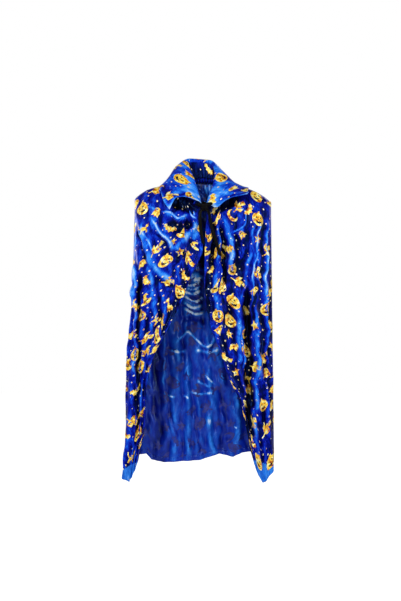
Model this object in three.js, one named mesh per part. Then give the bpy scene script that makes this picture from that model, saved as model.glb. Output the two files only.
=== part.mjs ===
// Costume cape as it hangs from a wire hanger: a gathered back panel, two front panels that fall from
// the shoulders and part below the chest, a deep turned-down collar on a stand, a drawstring casing
// round the neck, and a ribbon knotted in front with two short tails.
// Millimetres, +Z up, the front faces -Y. "left" and "right" are as seen from the front, so left is -X.
// The origin is the middle of the neck opening, where the hanger's neck comes up through it.
import * as THREE from "three";

// Overall size
const SHOULDER_HALF_WIDTH = 207;
const SHOULDER_TIP_Z = -36;
const BACK_HEM_Z = { left: -818, right: -792 };
const FRONT_TIP_Z = -879;
const BODY_HALF_DEPTH = 50;
const SHOULDER_FALL = 170; // below the top line by this much, the cloth has reached its full depth

// Cloth solids: each holds the space that its folds take up
const CLOTH_THICKNESS = 8;
const COLLAR_PLY = 1.4;
const INTERFACING_PLY = 0.8;
const PLY_GAP = 0.5;
const SEAM_GAP = 0.6;

// Neck ring: level at the back and sides, with a scoop down to the knot in front
const NECK_HALF_WIDTH = 46;
const NECK_HALF_DEPTH = 42;
const NECK_BACK_Z = 38;
const NECK_SIDE_Z = 22;
const NECK_FRONT_Z = -50;
const NECK_SCOOP = 1.2;
const NECK_CLEARANCE = 12; // from the ring's line out to the cloth that is gathered on to it
const NECK_DROP = { side: 6, front: 15 }; // from the ring's line down to that cloth
const NECK_OPEN_ANGLE = 0.12; // half the gap between the casing's two ends, in radians
const SHOULDER_DROOP = 2; // how sharply the shoulder line rounds over towards its tip

// Casing and ribbon
const CASING_HEIGHT = 15;
const CASING_DEPTH = 6;
const RIBBON_WIDTH = 10;
const RIBBON_THICKNESS = 1.6;
const KNOT_CENTRE = new THREE.Vector3(3, -59, -48);
const KNOT_RADII = new THREE.Vector3(18, 9, 12);

// Side creases, where each front panel turns into the back panel: these lines are the hinge axes
const CREASE_BOTTOM_Z = -785;
const CREASE_BOTTOM_X = { left: -228, right: 216 };
const CREASE_HALF_GAP = 6;
const CORNER_START = 0.8; // from here to the crease the section rounds from the flat panel

// The upper front is fixed to the neck and shoulders, and the lower front swings
const SPLIT_Z = -300;
const SPLIT_GAP = 3;
const FACING_SHARE = 0.06;
const BACK_HEM_SHARE = 0.982;

// Front edges as x at each height, from the knot to the corner at the hem
const FRONT_EDGE = {
  left: [
    [-50, -7],
    [-200, 0],
    [-262, -38],
    [-330, -63],
    [-438, -117],
    [-513, -153],
    [-606, -171],
    [-760, -192],
    [FRONT_TIP_Z, -219],
  ],
  right: [
    [-50, 11],
    [-210, 28],
    [-333, 9],
    [-450, 30],
    [-591, 87],
    [-702, 129],
    [-800, 152],
    [FRONT_TIP_Z, 183],
  ],
};

// Collar: the roll line is its top edge, and the fall hangs from it to the outer edge
const ROLL_LINE = {
  left: [
    [0, 50, 88],
    [-37, 42, 84],
    [-36, 15, 66],
    [-25, -10, 34],
    [-13, -32, -8],
    [-7, -50, -34],
  ],
  right: [
    [0, 50, 88],
    [33, 42, 83],
    [43, 15, 58],
    [34, -10, 24],
    [20, -32, -8],
    [12, -50, -34],
  ],
};
const OUTER_EDGE = {
  left: [
    [0, 72, -22],
    [-62, 74, -20],
    [-118, 50, -4],
    [-132, 0, 15],
    [-124, -44, -20],
    [-100, -62, -58],
  ],
  right: [
    [0, 72, -22],
    [62, 74, -20],
    [116, 50, -2],
    [138, 0, 12],
    [136, -44, -4],
    [132, -62, -22],
  ],
};
const LEAF_START = 0.25; // where along the collar the liftable leaf begins, from the centre back
const LEAF_GAP = 0.02;
const ROLL_CLEARANCE = 0.09; // share of the fall left free beside the roll line
const FALL_BULGE = 12;
const STAND_THICKNESS = 2.4;
const STAND_END = 0.8; // where along the collar the stand runs out, near the knot
const STAND_SEAM_GAP = 12.5;
const STAND_ROLL_GAP = 6;

// Ribbon tails, from the underside of the knot
const TAILS = {
  left: [
    [-6, -61, -60],
    [-9, -62, -74],
    [-9, -66, -96],
    [-6, -67, -126],
    [-1, -66, -153],
    [0, -66, -163],
  ],
  right: [
    [14, -61, -58.5],
    [19, -64, -74],
    [22, -66, -96],
    [34, -68, -139],
    [45, -67, -176],
    [51, -66, -198],
  ],
};

const SIDES = ["left", "right"];
const SIGN = { left: -1, right: 1 };
const clamp = THREE.MathUtils.clamp;
const lerp = THREE.MathUtils.lerp;

const finishes = {
  velvet: { color: 0x1226b8, roughness: 0.42, metalness: 0 },
  satinReverse: { color: 0x1550c8, roughness: 0.3, metalness: 0 },
  interfacing: { color: 0xd9dce4, roughness: 0.9, metalness: 0 },
  ribbon: { color: 0x08080c, roughness: 0.5, metalness: 0 },
};

function smooth(t) {
  const c = clamp(t, 0, 1);
  return c * c * (3 - 2 * c);
}

function named(name, geometry, finish) {
  const mesh = new THREE.Mesh(geometry, new THREE.MeshStandardMaterial(finishes[finish]));
  mesh.name = name;
  return mesh;
}

function points(list) {
  return list.map(([x, y, z]) => new THREE.Vector3(x, y, z));
}

// Straight-line reading of a table of [height, value] rows that runs downwards.
function valueAt(table, z) {
  let row = 1;
  while (row < table.length - 1 && table[row][0] > z) row += 1;
  const [z0, x0] = table[row - 1];
  const [z1, x1] = table[row];
  return lerp(x0, x1, clamp((z - z0) / (z1 - z0), 0, 1));
}

// A box splits the quads of opposite faces along opposite diagonals, so on a twisted surface the two
// sides of a slab, and the ends of slabs that meet, are only parallel once they are split alike.
function matchDiagonals(slab) {
  const index = slab.index;
  slab.groups.filter((group, face) => face % 2).forEach(({ start, count }) => {
    for (let i = start; i < start + count; i += 6) {
      const [a, b, c, d] = [0, 1, 4, 2].map((corner) => index.getX(i + corner));
      [a, b, c, a, c, d].forEach((vertex, corner) => index.setX(i + corner, vertex));
    }
  });
}

// One closed slab of even thickness on a curved surface. surface(u, v) gives a point, with u across
// and v down, and offset moves the slab along the surface's normal.
function clothSlab(surface, columns, rows, thickness, offset = 0) {
  const slab = new THREE.BoxGeometry(1, 1, 1, columns, rows, 1);
  const position = slab.getAttribute("position");
  const step = 1e-3;
  for (let i = 0; i < position.count; i += 1) {
    const u = position.getX(i) + 0.5;
    const v = 0.5 - position.getY(i);
    const side = offset + position.getZ(i) * thickness;
    const across = surface(Math.min(u + step, 1), v).sub(surface(Math.max(u - step, 0), v));
    const down = surface(u, Math.min(v + step, 1)).sub(surface(u, Math.max(v - step, 0)));
    const normal = down.cross(across).normalize();
    const point = surface(u, v).addScaledVector(normal, side);
    position.setXYZ(i, point.x, point.y, point.z);
  }
  slab.deleteAttribute("normal");
  slab.deleteAttribute("uv");
  matchDiagonals(slab);
  return slab;
}

// A closed bar of one section along a line.
function bar(section, line, steps) {
  return new THREE.ExtrudeGeometry(section, { steps, bevelEnabled: false, extrudePath: line });
}

// A flat section with its two ends chamfered, wide along the path's binormal.
function flatSection(width, thickness) {
  const w = width / 2;
  const t = thickness / 2;
  const outline = [
    [-t, -w + t],
    [-t / 2, -w],
    [t / 2, -w],
    [t, -w + t],
    [t, w - t],
    [t / 2, w],
    [-t / 2, w],
    [-t, w - t],
  ];
  return new THREE.Shape(outline.map(([x, y]) => new THREE.Vector2(x, y)));
}

// The neck ring. turn is 0 at the centre back and PI at the centre front.
function neckPoint(side, turn, grow = 0) {
  const ahead = -Math.cos(turn);
  const z = ahead > 0
    ? lerp(NECK_SIDE_Z, NECK_FRONT_Z, ahead ** NECK_SCOOP)
    : lerp(NECK_SIDE_Z, NECK_BACK_Z, -ahead);
  return new THREE.Vector3(
    SIGN[side] * (NECK_HALF_WIDTH + grow) * Math.sin(turn),
    (NECK_HALF_DEPTH + grow) * Math.cos(turn),
    z,
  );
}

// Top line of the body cloth above x: round the neck, then out along the shoulder.
function topLine(side, x, isBack) {
  const neckEdge = NECK_HALF_WIDTH + NECK_CLEARANCE;
  const reach = Math.abs(x);
  if (reach < neckEdge) {
    const turn = Math.asin(reach / neckEdge);
    const round = neckPoint(side, isBack ? turn : Math.PI - turn, NECK_CLEARANCE);
    const drop = lerp(NECK_DROP.side, isBack ? NECK_DROP.side : NECK_DROP.front, Math.cos(turn));
    return { depth: Math.max(CREASE_HALF_GAP, Math.abs(round.y)), z: round.z - drop };
  }
  const along = clamp((reach - neckEdge) / (SHOULDER_HALF_WIDTH - neckEdge), 0, 1);
  const neckSide = NECK_SIDE_Z - NECK_DROP.side;
  return { depth: CREASE_HALF_GAP, z: lerp(neckSide, SHOULDER_TIP_Z, along ** SHOULDER_DROOP) };
}

function creaseX(side, z) {
  const share = (SHOULDER_TIP_Z - z) / (SHOULDER_TIP_Z - CREASE_BOTTOM_Z);
  return lerp(SIGN[side] * SHOULDER_HALF_WIDTH, CREASE_BOTTOM_X[side], clamp(share, 0, 1.1));
}

// Depth of the cloth from the middle plane: flat across the panel, rounded in to the crease.
function depthAt(a, topDepth, drop) {
  const k = clamp((a - CORNER_START) / (1 - CORNER_START), 0, 1);
  const full = CREASE_HALF_GAP + (BODY_HALF_DEPTH - CREASE_HALF_GAP) * Math.sqrt(1 - k * k);
  return lerp(topDepth, full, smooth(drop / SHOULDER_FALL));
}

// Columns close up towards the creases, where the section turns.
function spread(u) {
  return Math.sin((u * Math.PI) / 2);
}

function backSurface(u, v) {
  const across = 2 * u - 1;
  const side = across < 0 ? "left" : "right";
  const a = spread(Math.abs(across));
  const topX = a * SIGN[side] * SHOULDER_HALF_WIDTH;
  const top = topLine(side, topX, true);
  const hemZ = lerp(BACK_HEM_Z.left, BACK_HEM_Z.right, u);
  const z = lerp(top.z, hemZ, v);
  const x = lerp(topX, a * creaseX(side, hemZ), v);
  return new THREE.Vector3(x, depthAt(a, top.depth, top.z - z), z);
}

// a is 1 at the crease and 0 at the front edge, and v runs from the neck and shoulder to the split.
function upperFrontPoint(side, a, v) {
  const topX = lerp(FRONT_EDGE[side][0][1], SIGN[side] * SHOULDER_HALF_WIDTH, a);
  const top = topLine(side, topX, false);
  const z = lerp(top.z, SPLIT_Z, v);
  const x = lerp(valueAt(FRONT_EDGE[side], z), creaseX(side, z), a);
  return new THREE.Vector3(x, -depthAt(a, top.depth, top.z - z), z);
}

// The same panel below the split: its hem runs from the foot of the crease down to the corner.
function lowerFrontPoint(side, a, v) {
  const top = SPLIT_Z - SPLIT_GAP;
  const edgeZ = lerp(top, FRONT_TIP_Z, v);
  const creaseZ = lerp(top, CREASE_BOTTOM_Z, v);
  const x = lerp(valueAt(FRONT_EDGE[side], edgeZ), creaseX(side, creaseZ), a);
  const depth = depthAt(a, BODY_HALF_DEPTH, SHOULDER_FALL);
  return new THREE.Vector3(x, -depth, lerp(edgeZ, creaseZ, a));
}

// A patch of a surface, with both of its ranges given.
function patch(surface, [u0, u1], [v0, v1]) {
  return (u, v) => surface(lerp(u0, u1, u), lerp(v0, v1, v));
}

const rollCurve = {};
const outerCurve = {};
SIDES.forEach((side) => {
  rollCurve[side] = new THREE.CatmullRomCurve3(points(ROLL_LINE[side]), false, "centripetal");
  outerCurve[side] = new THREE.CatmullRomCurve3(points(OUTER_EDGE[side]), false, "centripetal");
});

// t is 0 at the centre back and 1 at the knot, and v runs from the roll line to the outer edge.
function fallPoint(side, t, v) {
  const roll = rollCurve[side].getPoint(t);
  const edge = outerCurve[side].getPoint(t);
  const bulge = FALL_BULGE * Math.sin(v * Math.PI);
  const outward = new THREE.Vector3(edge.x - roll.x, edge.y - roll.y, 0).normalize().setZ(1);
  return roll.lerp(edge, v).addScaledVector(outward, bulge);
}

function backFallSurface(u, v) {
  const across = 2 * u - 1;
  return fallPoint(across < 0 ? "left" : "right", Math.abs(across) * (LEAF_START - LEAF_GAP), v);
}

// The stand, from the casing up to the roll line, all the way round from knot to knot.
function standSurface(u, v) {
  const across = 2 * u - 1;
  const side = across < 0 ? "left" : "right";
  const t = Math.abs(across) * STAND_END;
  const seam = neckPoint(side, t * Math.PI);
  const roll = rollCurve[side].getPoint(t);
  const up = roll.clone().sub(seam).normalize();
  seam.addScaledVector(up, STAND_SEAM_GAP);
  return roll.addScaledVector(up, -STAND_ROLL_GAP).lerp(seam, v);
}

const root = new THREE.Group();
const body = new THREE.Group();
const collar = new THREE.Group();
const tie = new THREE.Group();
root.add(body, collar, tie);

// Back panel and its turned hem
body.add(
  named(
    "back_panel",
    clothSlab(patch(backSurface, [0, 1], [0, BACK_HEM_SHARE]), 24, 14, CLOTH_THICKNESS),
    "velvet",
  ),
  named(
    "back_hem",
    clothSlab(patch(backSurface, [0, 1], [BACK_HEM_SHARE + 0.001, 1]), 24, 1, CLOTH_THICKNESS),
    "satinReverse",
  ),
);

// Each front: fixed upper panel, swinging drape, and the facing turned in down the front edge
SIDES.forEach((side) => {
  // Left panels run from the crease to the front edge as x grows, and right panels the other way.
  const across = (a0, a1) => (side === "left" ? [a1, a0] : [a0, a1]);
  const upper = (u, v) => upperFrontPoint(side, u, v);
  const lower = (u, v) => lowerFrontPoint(side, u, v);
  const inner = across(0, FACING_SHARE - 0.004);
  const outer = across(FACING_SHARE, 1);
  const slab = (surface, columns, rows) => clothSlab(surface, columns, rows, CLOTH_THICKNESS);
  body.add(
    named(side + "_front_yoke", slab(patch(upper, outer, [0, 1]), 14, 8), "velvet"),
    named(side + "_facing_upper", slab(patch(upper, inner, [0, 1]), 1, 8), "satinReverse"),
    named(side + "_front_drape", slab(patch(lower, outer, [0, 1]), 14, 12), "velvet"),
    named(side + "_facing_lower", slab(patch(lower, inner, [0, 1]), 1, 12), "satinReverse"),
  );
});

// Collar: stand, then under collar, interfacing and upper collar for the back fall and for each leaf
const PLIES = [
  ["under", COLLAR_PLY, -(COLLAR_PLY + INTERFACING_PLY) / 2 - PLY_GAP, "velvet"],
  ["interfacing", INTERFACING_PLY, 0, "interfacing"],
  ["upper", COLLAR_PLY, (COLLAR_PLY + INTERFACING_PLY) / 2 + PLY_GAP, "velvet"],
];
collar.add(named("collar_stand", clothSlab(standSurface, 28, 2, STAND_THICKNESS), "velvet"));
PLIES.forEach(([ply, thickness, offset, finish]) => {
  const fall = patch(backFallSurface, [0, 1], [ROLL_CLEARANCE, 1]);
  // The back fall is drawn from left to right as seen from the front, so its outer face is turned.
  collar.add(named("collar_back_" + ply, clothSlab(fall, 14, 4, thickness, -offset), finish));
  SIDES.forEach((side) => {
    const range = side === "left" ? [LEAF_START, 1] : [1, LEAF_START];
    const leaf = (u, v) => fallPoint(side, u, v);
    const piece = clothSlab(patch(leaf, range, [ROLL_CLEARANCE, 1]), 10, 5, thickness, offset);
    collar.add(named(side + "_leaf_" + ply, piece, finish));
  });
});

// Drawstring casing with its channel, and the ribbon that runs in it to the knot
const ringTurns = [];
for (let k = 0; k <= 36; k += 1) {
  ringTurns.push(lerp(-Math.PI + NECK_OPEN_ANGLE, Math.PI - NECK_OPEN_ANGLE, k / 36));
}
const ring = ringTurns.map((turn) => neckPoint(turn < 0 ? "left" : "right", Math.abs(turn)));
const ringLine = new THREE.CatmullRomCurve3(ring, false, "centripetal");
const casing = flatSection(CASING_HEIGHT, CASING_DEPTH);
casing.holes.push(flatSection(RIBBON_WIDTH + 2 * SEAM_GAP, RIBBON_THICKNESS + 2 * SEAM_GAP));
tie.add(
  named("neck_casing", bar(casing, ringLine, 40), "velvet"),
  named("casing_ribbon", bar(flatSection(RIBBON_WIDTH, RIBBON_THICKNESS), ringLine, 40), "ribbon"),
);

// Knot and the two tails
const knot = new THREE.SphereGeometry(1, 20, 14);
knot.scale(KNOT_RADII.x, KNOT_RADII.y, KNOT_RADII.z);
knot.translate(KNOT_CENTRE.x, KNOT_CENTRE.y, KNOT_CENTRE.z);
tie.add(named("ribbon_knot", knot, "ribbon"));
SIDES.forEach((side) => {
  const line = new THREE.CatmullRomCurve3(points(TAILS[side]), false, "centripetal");
  const tail = bar(flatSection(RIBBON_WIDTH, RIBBON_THICKNESS), line, 12);
  tie.add(named(side + "_ribbon_tail", tail, "ribbon"));
});

export default root;
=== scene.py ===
"""Costume cape of gold-printed blue velvet, hanging as it does from a wire hanger.

Millimetres inside the makers, metres in every mesh. +Z is up, the front faces -Y, and left is -X.
"""

import logging
import math
import random
from dataclasses import dataclass, field
from enum import Enum
from typing import Callable, Iterable, Sequence

import bmesh
import bpy
import numpy as np
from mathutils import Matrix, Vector


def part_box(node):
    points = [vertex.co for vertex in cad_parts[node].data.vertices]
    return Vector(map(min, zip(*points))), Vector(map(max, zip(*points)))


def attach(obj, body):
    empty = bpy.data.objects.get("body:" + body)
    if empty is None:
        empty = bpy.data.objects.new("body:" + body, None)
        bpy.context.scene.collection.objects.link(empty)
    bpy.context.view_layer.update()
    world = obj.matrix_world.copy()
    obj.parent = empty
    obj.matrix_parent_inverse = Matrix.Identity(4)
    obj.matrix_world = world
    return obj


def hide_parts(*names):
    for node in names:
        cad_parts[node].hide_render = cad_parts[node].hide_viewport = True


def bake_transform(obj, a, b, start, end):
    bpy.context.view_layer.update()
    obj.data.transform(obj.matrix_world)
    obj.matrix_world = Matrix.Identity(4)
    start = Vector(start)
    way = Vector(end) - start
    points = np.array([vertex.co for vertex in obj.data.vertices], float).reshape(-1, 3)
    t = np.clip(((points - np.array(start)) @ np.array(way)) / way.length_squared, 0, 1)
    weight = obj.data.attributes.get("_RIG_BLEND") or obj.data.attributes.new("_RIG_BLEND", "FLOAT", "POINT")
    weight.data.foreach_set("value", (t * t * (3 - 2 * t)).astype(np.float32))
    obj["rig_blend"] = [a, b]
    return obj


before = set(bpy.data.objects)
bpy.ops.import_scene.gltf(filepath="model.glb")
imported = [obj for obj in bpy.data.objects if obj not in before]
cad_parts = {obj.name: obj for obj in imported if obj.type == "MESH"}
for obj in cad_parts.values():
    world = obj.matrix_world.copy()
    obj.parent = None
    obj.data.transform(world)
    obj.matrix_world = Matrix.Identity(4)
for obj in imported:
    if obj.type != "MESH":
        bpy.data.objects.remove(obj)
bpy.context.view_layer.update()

log = logging.getLogger("cape")
MM = 0.001
AXIS = (-7.5, -331.5)  # the middle of the hanging cape, seen from the front
Points = Sequence[tuple[float, ...]]
Number = float | np.ndarray

FRONT_PITCH = 64.0  # repeats of the print, in millimetres
BACK_PITCH = 60.0
COLLAR_PITCH = 60.0
STAND_PITCH = 74.0
BACK_NEARNESS = 0.972  # the back lies further off, so its folds are drawn this much smaller
CENTRE_FULLNESS = 17.0  # fullness of both collar halves where they meet


class Side(Enum):
    """The two halves of the cape, as seen from the front."""

    LEFT = -1
    RIGHT = 1

    @property
    def word(self) -> str:
        """The side's name as the pieces use it."""
        return self.name.lower()


def lerp(a: Number, b: Number, t: Number) -> Number:
    """Straight-line mix of a and b.

    Args:
        a: Value at t = 0.
        b: Value at t = 1.
        t: Share of the way, a number or an array.
    Returns:
        The mixed value.
    """
    return a + (b - a) * t


def smooth(t: Number) -> Number:
    """Ease from 0 to 1 with level ends.

    Args:
        t: Share of the way, clipped to 0 to 1.
    Returns:
        The eased share.
    """
    c = np.clip(t, 0, 1)
    return c * c * (3 - 2 * c)


def curve_at(line: Points, t: Number) -> np.ndarray:
    """Points on a smooth curve through a line's corners.

    Args:
        line: The corners that the curve goes through.
        t: Places along it, 0 to 1, with equal shares to each span.
    Returns:
        One row for each place.
    """
    pts = np.asarray(line, float)
    ends = np.vstack([2 * pts[0] - pts[1], pts, 2 * pts[-1] - pts[-2]])
    spot = np.clip(np.asarray(t, float), 0, 1) * (len(pts) - 1)
    i = np.minimum(spot.astype(int), len(pts) - 2)
    f = (spot - i)[..., None]
    p0, p1, p2, p3 = (ends[i + k] for k in range(4))
    return 0.5 * (
        2 * p1
        + (p2 - p0) * f
        + (2 * p0 - 5 * p1 + 4 * p2 - p3) * f**2
        + (3 * p1 - p0 - 3 * p2 + p3) * f**3
    )


def read_down(table: Points, z: Number) -> np.ndarray:
    """Smooth reading of (height, value) rows that run downwards.

    Args:
        table: Rows of height and value, highest first.
        z: Heights to read at.
    Returns:
        The values there.
    """
    fine = curve_at(table, np.linspace(0, 1, 200))
    return np.interp(-np.asarray(z, float), -fine[:, 0], fine[:, 1])


# ---------------------------------------------------------------- finishes


def linear(code: str) -> tuple[float, float, float, float]:
    """An sRGB hex colour as linear RGBA.

    Args:
        code: Six hex digits.
    Returns:
        Linear red, green, blue and full alpha.
    """
    channels = [int(code[i : i + 2], 16) / 255 for i in (0, 2, 4)]
    return tuple(c / 12.92 if c <= 0.04045 else ((c + 0.055) / 1.055) ** 2.4 for c in channels) + (1.0,)


def add_node(
    tree: bpy.types.NodeTree, kind: str, settings: dict | None = None, links: dict | None = None
) -> bpy.types.Node:
    """Add one node with its settings and its links.

    Args:
        tree: The node tree.
        kind: The node's type name.
        settings: Node properties by name, and input values by name or number.
        links: Sockets that feed this node's inputs, by name or number.
    Returns:
        The node.
    """
    node = tree.nodes.new(kind)
    for key, value in (settings or {}).items():
        if isinstance(key, str) and hasattr(node, key):
            setattr(node, key, value)
        else:
            node.inputs[key].default_value = value
    for key, socket in (links or {}).items():
        tree.links.new(socket, node.inputs[key])
    return node


def ramp(
    tree: bpy.types.NodeTree, factor: bpy.types.NodeSocket, stops: Iterable[tuple[float, str]]
) -> bpy.types.NodeSocket:
    """Add a colour ramp.

    Args:
        tree: The node tree.
        factor: The socket that drives it.
        stops: Places and hex colours.
    Returns:
        Its colour socket.
    """
    node = add_node(tree, "ShaderNodeValToRGB", links={"Fac": factor})
    stops = list(stops)
    while len(node.color_ramp.elements) < len(stops):
        node.color_ramp.elements.new(0.5)
    for element, (place, code) in zip(node.color_ramp.elements, stops):
        element.position = place
        element.color = linear(code)
    return node.outputs["Color"]


@dataclass(frozen=True)
class Finish:
    """A real material: its name, and how its surface was made."""

    name: str
    roughness: float
    metallic: float = 0.0
    specular: float = 0.5
    specular_tint: str = "FFFFFF"
    sheen: float = 0.0
    sheen_tint: str = "FFFFFF"

    def material(self) -> bpy.types.Material:
        """The Blender material of this finish, made once.

        Returns:
            The material.
        """
        found = bpy.data.materials.get(self.name)
        if found:
            return found
        made = bpy.data.materials.new(self.name)
        made.use_nodes = True
        tree = made.node_tree
        shader = tree.nodes["Principled BSDF"]
        shader.inputs["Roughness"].default_value = self.roughness
        shader.inputs["Metallic"].default_value = self.metallic
        shader.inputs["Specular IOR Level"].default_value = self.specular
        shader.inputs["Specular Tint"].default_value = linear(self.specular_tint)
        shader.inputs["Sheen Weight"].default_value = self.sheen
        shader.inputs["Sheen Roughness"].default_value = 0.35
        shader.inputs["Sheen Tint"].default_value = linear(self.sheen_tint)
        self.dress(tree, shader)
        return made

    def dress(self, tree: bpy.types.NodeTree, shader: bpy.types.Node) -> None:
        """Add the nodes of this finish; each kind of finish has its own.

        Args:
            tree: The node tree.
            shader: The shader node.
        """
        raise NotImplementedError

    def relief(
        self, tree: bpy.types.NodeTree, shader: bpy.types.Node, height: bpy.types.NodeSocket, depth_mm: float
    ) -> None:
        """Give the surface a relief.

        Args:
            tree: The node tree.
            shader: The shader node.
            height: The socket with the height, 0 to 1.
            depth_mm: Real depth of the relief.
        """
        settings = {"Strength": 0.5, "Distance": depth_mm * MM}
        bump = add_node(tree, "ShaderNodeBump", settings, {"Height": height})
        tree.links.new(bump.outputs["Normal"], shader.inputs["Normal"])


@dataclass(frozen=True)
class Cloth(Finish):
    """A knitted cloth whose colour is the painted light of its folds: painted shade in the hollows, painted
    highlights on the crests.
    """

    stops: tuple[tuple[float, str], ...] = ()
    attribute: str = "crest"
    nap_mm: float = 2.6
    nap_change: float = 0.27
    relief_mm: float = 0.25

    def dress(self, tree: bpy.types.NodeTree, shader: bpy.types.Node) -> None:
        """Colour from the painted fold light with brushed nap over it, and a fine crushed relief.

        Args:
            tree: The node tree.
            shader: The shader node.
        """
        # The cloth's tone with its painted light: painted shade in the hollows, painted highlights on the
        # crests.
        crest = add_node(tree, "ShaderNodeAttribute", {"attribute_name": self.attribute})
        pattern = add_node(tree, "ShaderNodeUVMap", {"uv_map": "pattern"})
        # The pile lies in long strokes down the cloth, so the noise is drawn out along its length.
        strokes = add_node(
            tree,
            "ShaderNodeMapping",
            {"Scale": (1 / (self.nap_mm * MM), 0.22 / (self.nap_mm * MM), 1.0)},
            {"Vector": pattern.outputs["UV"]},
        )
        nap = add_node(
            tree, "ShaderNodeTexNoise", {"Scale": 1.0, "Detail": 3.0}, {"Vector": strokes.outputs["Vector"]}
        )
        crushed = add_node(
            tree,
            "ShaderNodeTexNoise",
            {"Scale": 1 / (26 * MM), "Detail": 2.0},
            {"Vector": pattern.outputs["UV"]},
        )
        centred = add_node(
            tree, "ShaderNodeMath", {"operation": "SUBTRACT", 1: 0.5}, {0: nap.outputs["Fac"]}
        )
        fine = add_node(
            tree,
            "ShaderNodeMath",
            {"operation": "MULTIPLY_ADD", 1: self.nap_change * 2},
            {0: centred.outputs[0], 2: crest.outputs["Fac"]},
        )
        wide = add_node(
            tree, "ShaderNodeMath", {"operation": "SUBTRACT", 1: 0.5}, {0: crushed.outputs["Fac"]}
        )
        tone = add_node(
            tree,
            "ShaderNodeMath",
            {"operation": "MULTIPLY_ADD", 1: self.nap_change * 2},
            {0: wide.outputs[0], 2: fine.outputs[0]},
        )
        tree.links.new(ramp(tree, tone.outputs[0], self.stops), shader.inputs["Base Color"])
        self.relief(tree, shader, nap.outputs["Fac"], self.relief_mm)


@dataclass(frozen=True)
class Foil(Finish):
    """Hot-pressed foil, with random patches of painted reflection from pale gold to coppery, and painted
    shade over the cloth's hollows.
    """

    stops: tuple[tuple[float, str], ...] = ()
    grain_mm: float = 9.0

    def dress(self, tree: bpy.types.NodeTree, shader: bpy.types.Node) -> None:
        """Patches of painted reflection, pale and deep gold, a few millimetres across, dimmed by the painted
        shade of the cloth below, with a crinkle in the relief.

        Args:
            tree: The node tree.
            shader: The shader node.
        """
        place = add_node(tree, "ShaderNodeTexCoord")
        patches = add_node(
            tree,
            "ShaderNodeTexNoise",
            {"Scale": 1 / (self.grain_mm * MM), "Detail": 3.0, "Roughness": 0.6},
            {"Vector": place.outputs["Object"]},
        )
        # Painted shade: the foil takes the painted light of the cloth under it and darkens in its hollows.
        crest = add_node(tree, "ShaderNodeAttribute", {"attribute_name": "crest"})
        shade = add_node(
            tree,
            "ShaderNodeMapRange",
            {"From Min": 0.0, "From Max": 0.24, "To Min": 0.42},
            {"Value": crest.outputs["Fac"]},
        )
        foil = ramp(tree, patches.outputs["Fac"], self.stops)
        shaded = add_node(
            tree,
            "ShaderNodeVectorMath",
            {"operation": "SCALE"},
            {0: foil, "Scale": shade.outputs["Result"]},
        )
        tree.links.new(shaded.outputs["Vector"], shader.inputs["Base Color"])
        self.relief(tree, shader, patches.outputs["Fac"], 0.3)


@dataclass(frozen=True)
class Woven(Finish):
    """A woven ribbon or thread: fine ribs across it."""

    dark: str = "010102"
    pale: str = "08080C"
    rib_mm: float = 1.2

    def dress(self, tree: bpy.types.NodeTree, shader: bpy.types.Node) -> None:
        """Ribs as drawn bands, coarser than the real 0.3 mm so that they show.

        Args:
            tree: The node tree.
            shader: The shader node.
        """
        place = add_node(tree, "ShaderNodeTexCoord")
        settings = {
            "wave_type": "BANDS",
            "bands_direction": "Z",
            "Scale": 0.31 / (self.rib_mm * MM),
            "Distortion": 0.6,
        }
        ribs = add_node(tree, "ShaderNodeTexWave", settings, {"Vector": place.outputs["Object"]})
        tone = ramp(tree, ribs.outputs["Fac"], [(0.0, self.dark), (1.0, self.pale)])
        tree.links.new(tone, shader.inputs["Base Color"])
        self.relief(tree, shader, ribs.outputs["Fac"], 0.15)


# Panne velvet, polyester pile pressed flat one way: a hard satiny gloss. Its ramp is painted light: near
# black as painted shade in the hollows, then ultramarine, then azure to pale sky as painted highlights on
# the crests of its folds.
PANNE_VELVET = Cloth(
    "panne_velvet_pressed",
    roughness=0.35,
    specular=0.38,
    specular_tint="3C78FF",
    sheen=0.04,
    sheen_tint="1C50FF",
    stops=(
        (0.0, "000004"),
        (0.2, "00001C"),
        (0.33, "02034E"),
        (0.45, "0812A2"),
        (0.57, "0E40CC"),
        (0.68, "2078F0"),
        (0.82, "4AA0FF"),
        (1.0, "C4E2FF"),
    ),
)
# The knitted reverse of the same cloth: plainer and smoother. Its ramp is painted light too, from painted
# shade in the hollows to painted white highlights on its creases.
KNIT_REVERSE = Cloth(
    "panne_reverse_knitted",
    roughness=0.28,
    specular=0.6,
    specular_tint="9CC4FF",
    attribute="inner_crest",
    nap_mm=5.0,
    nap_change=0.16,
    stops=(
        (0.0, "01010F"),
        (0.2, "030560"),
        (0.42, "08229C"),
        (0.6, "0E46B8"),
        (0.78, "2C86EE"),
        (0.95, "D8EEFF"),
    ),
)
# Lacquered foil pressed on with heat, metallic. Its patches from pale gold to burnt orange are painted
# reflection.
GOLD_FOIL = Foil(
    "gold_foil_pressed",
    roughness=0.36,
    metallic=0.12,
    stops=((0.34, "8E3804"), (0.41, "E48A0E"), (0.48, "FFCC30"), (0.56, "FFEA62"), (0.65, "FFFCD0")),
)
# The same foil laid on so thinly that it looks nearly white.
PALE_FOIL = Foil(
    "pale_foil_pressed",
    roughness=0.4,
    metallic=0.2,
    grain_mm=14.0,
    stops=((0.35, "D9A640"), (0.5, "FFF0B8"), (0.65, "FFFFF0")),
)
# Flat pigment ink of the pumpkins' faces, printed before the foil.
FACE_INK = Foil(
    "pigment_ink_printed",
    roughness=0.5,
    specular=0.2,
    grain_mm=12.0,
    stops=((0.35, "00000C"), (0.65, "02033A")),
)
# Print that shows through to the reverse as a darker, duller blue.
GHOST_INK = Foil(
    "print_showing_through",
    roughness=0.45,
    grain_mm=12.0,
    stops=((0.35, "030A62"), (0.65, "0A2492")),
)
# Polyester satin ribbon, woven: black with a soft gloss.
BLACK_SATIN = Woven("polyester_ribbon_woven", roughness=0.45, specular=0.08, dark="000001", pale="030306")
# Spun polyester sewing thread, twisted.
BLUE_THREAD = Woven("sewing_thread_spun", roughness=0.6, dark="0A1A8C", pale="2A4FD8", rib_mm=0.8)


# ---------------------------------------------------------------- cloth


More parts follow.
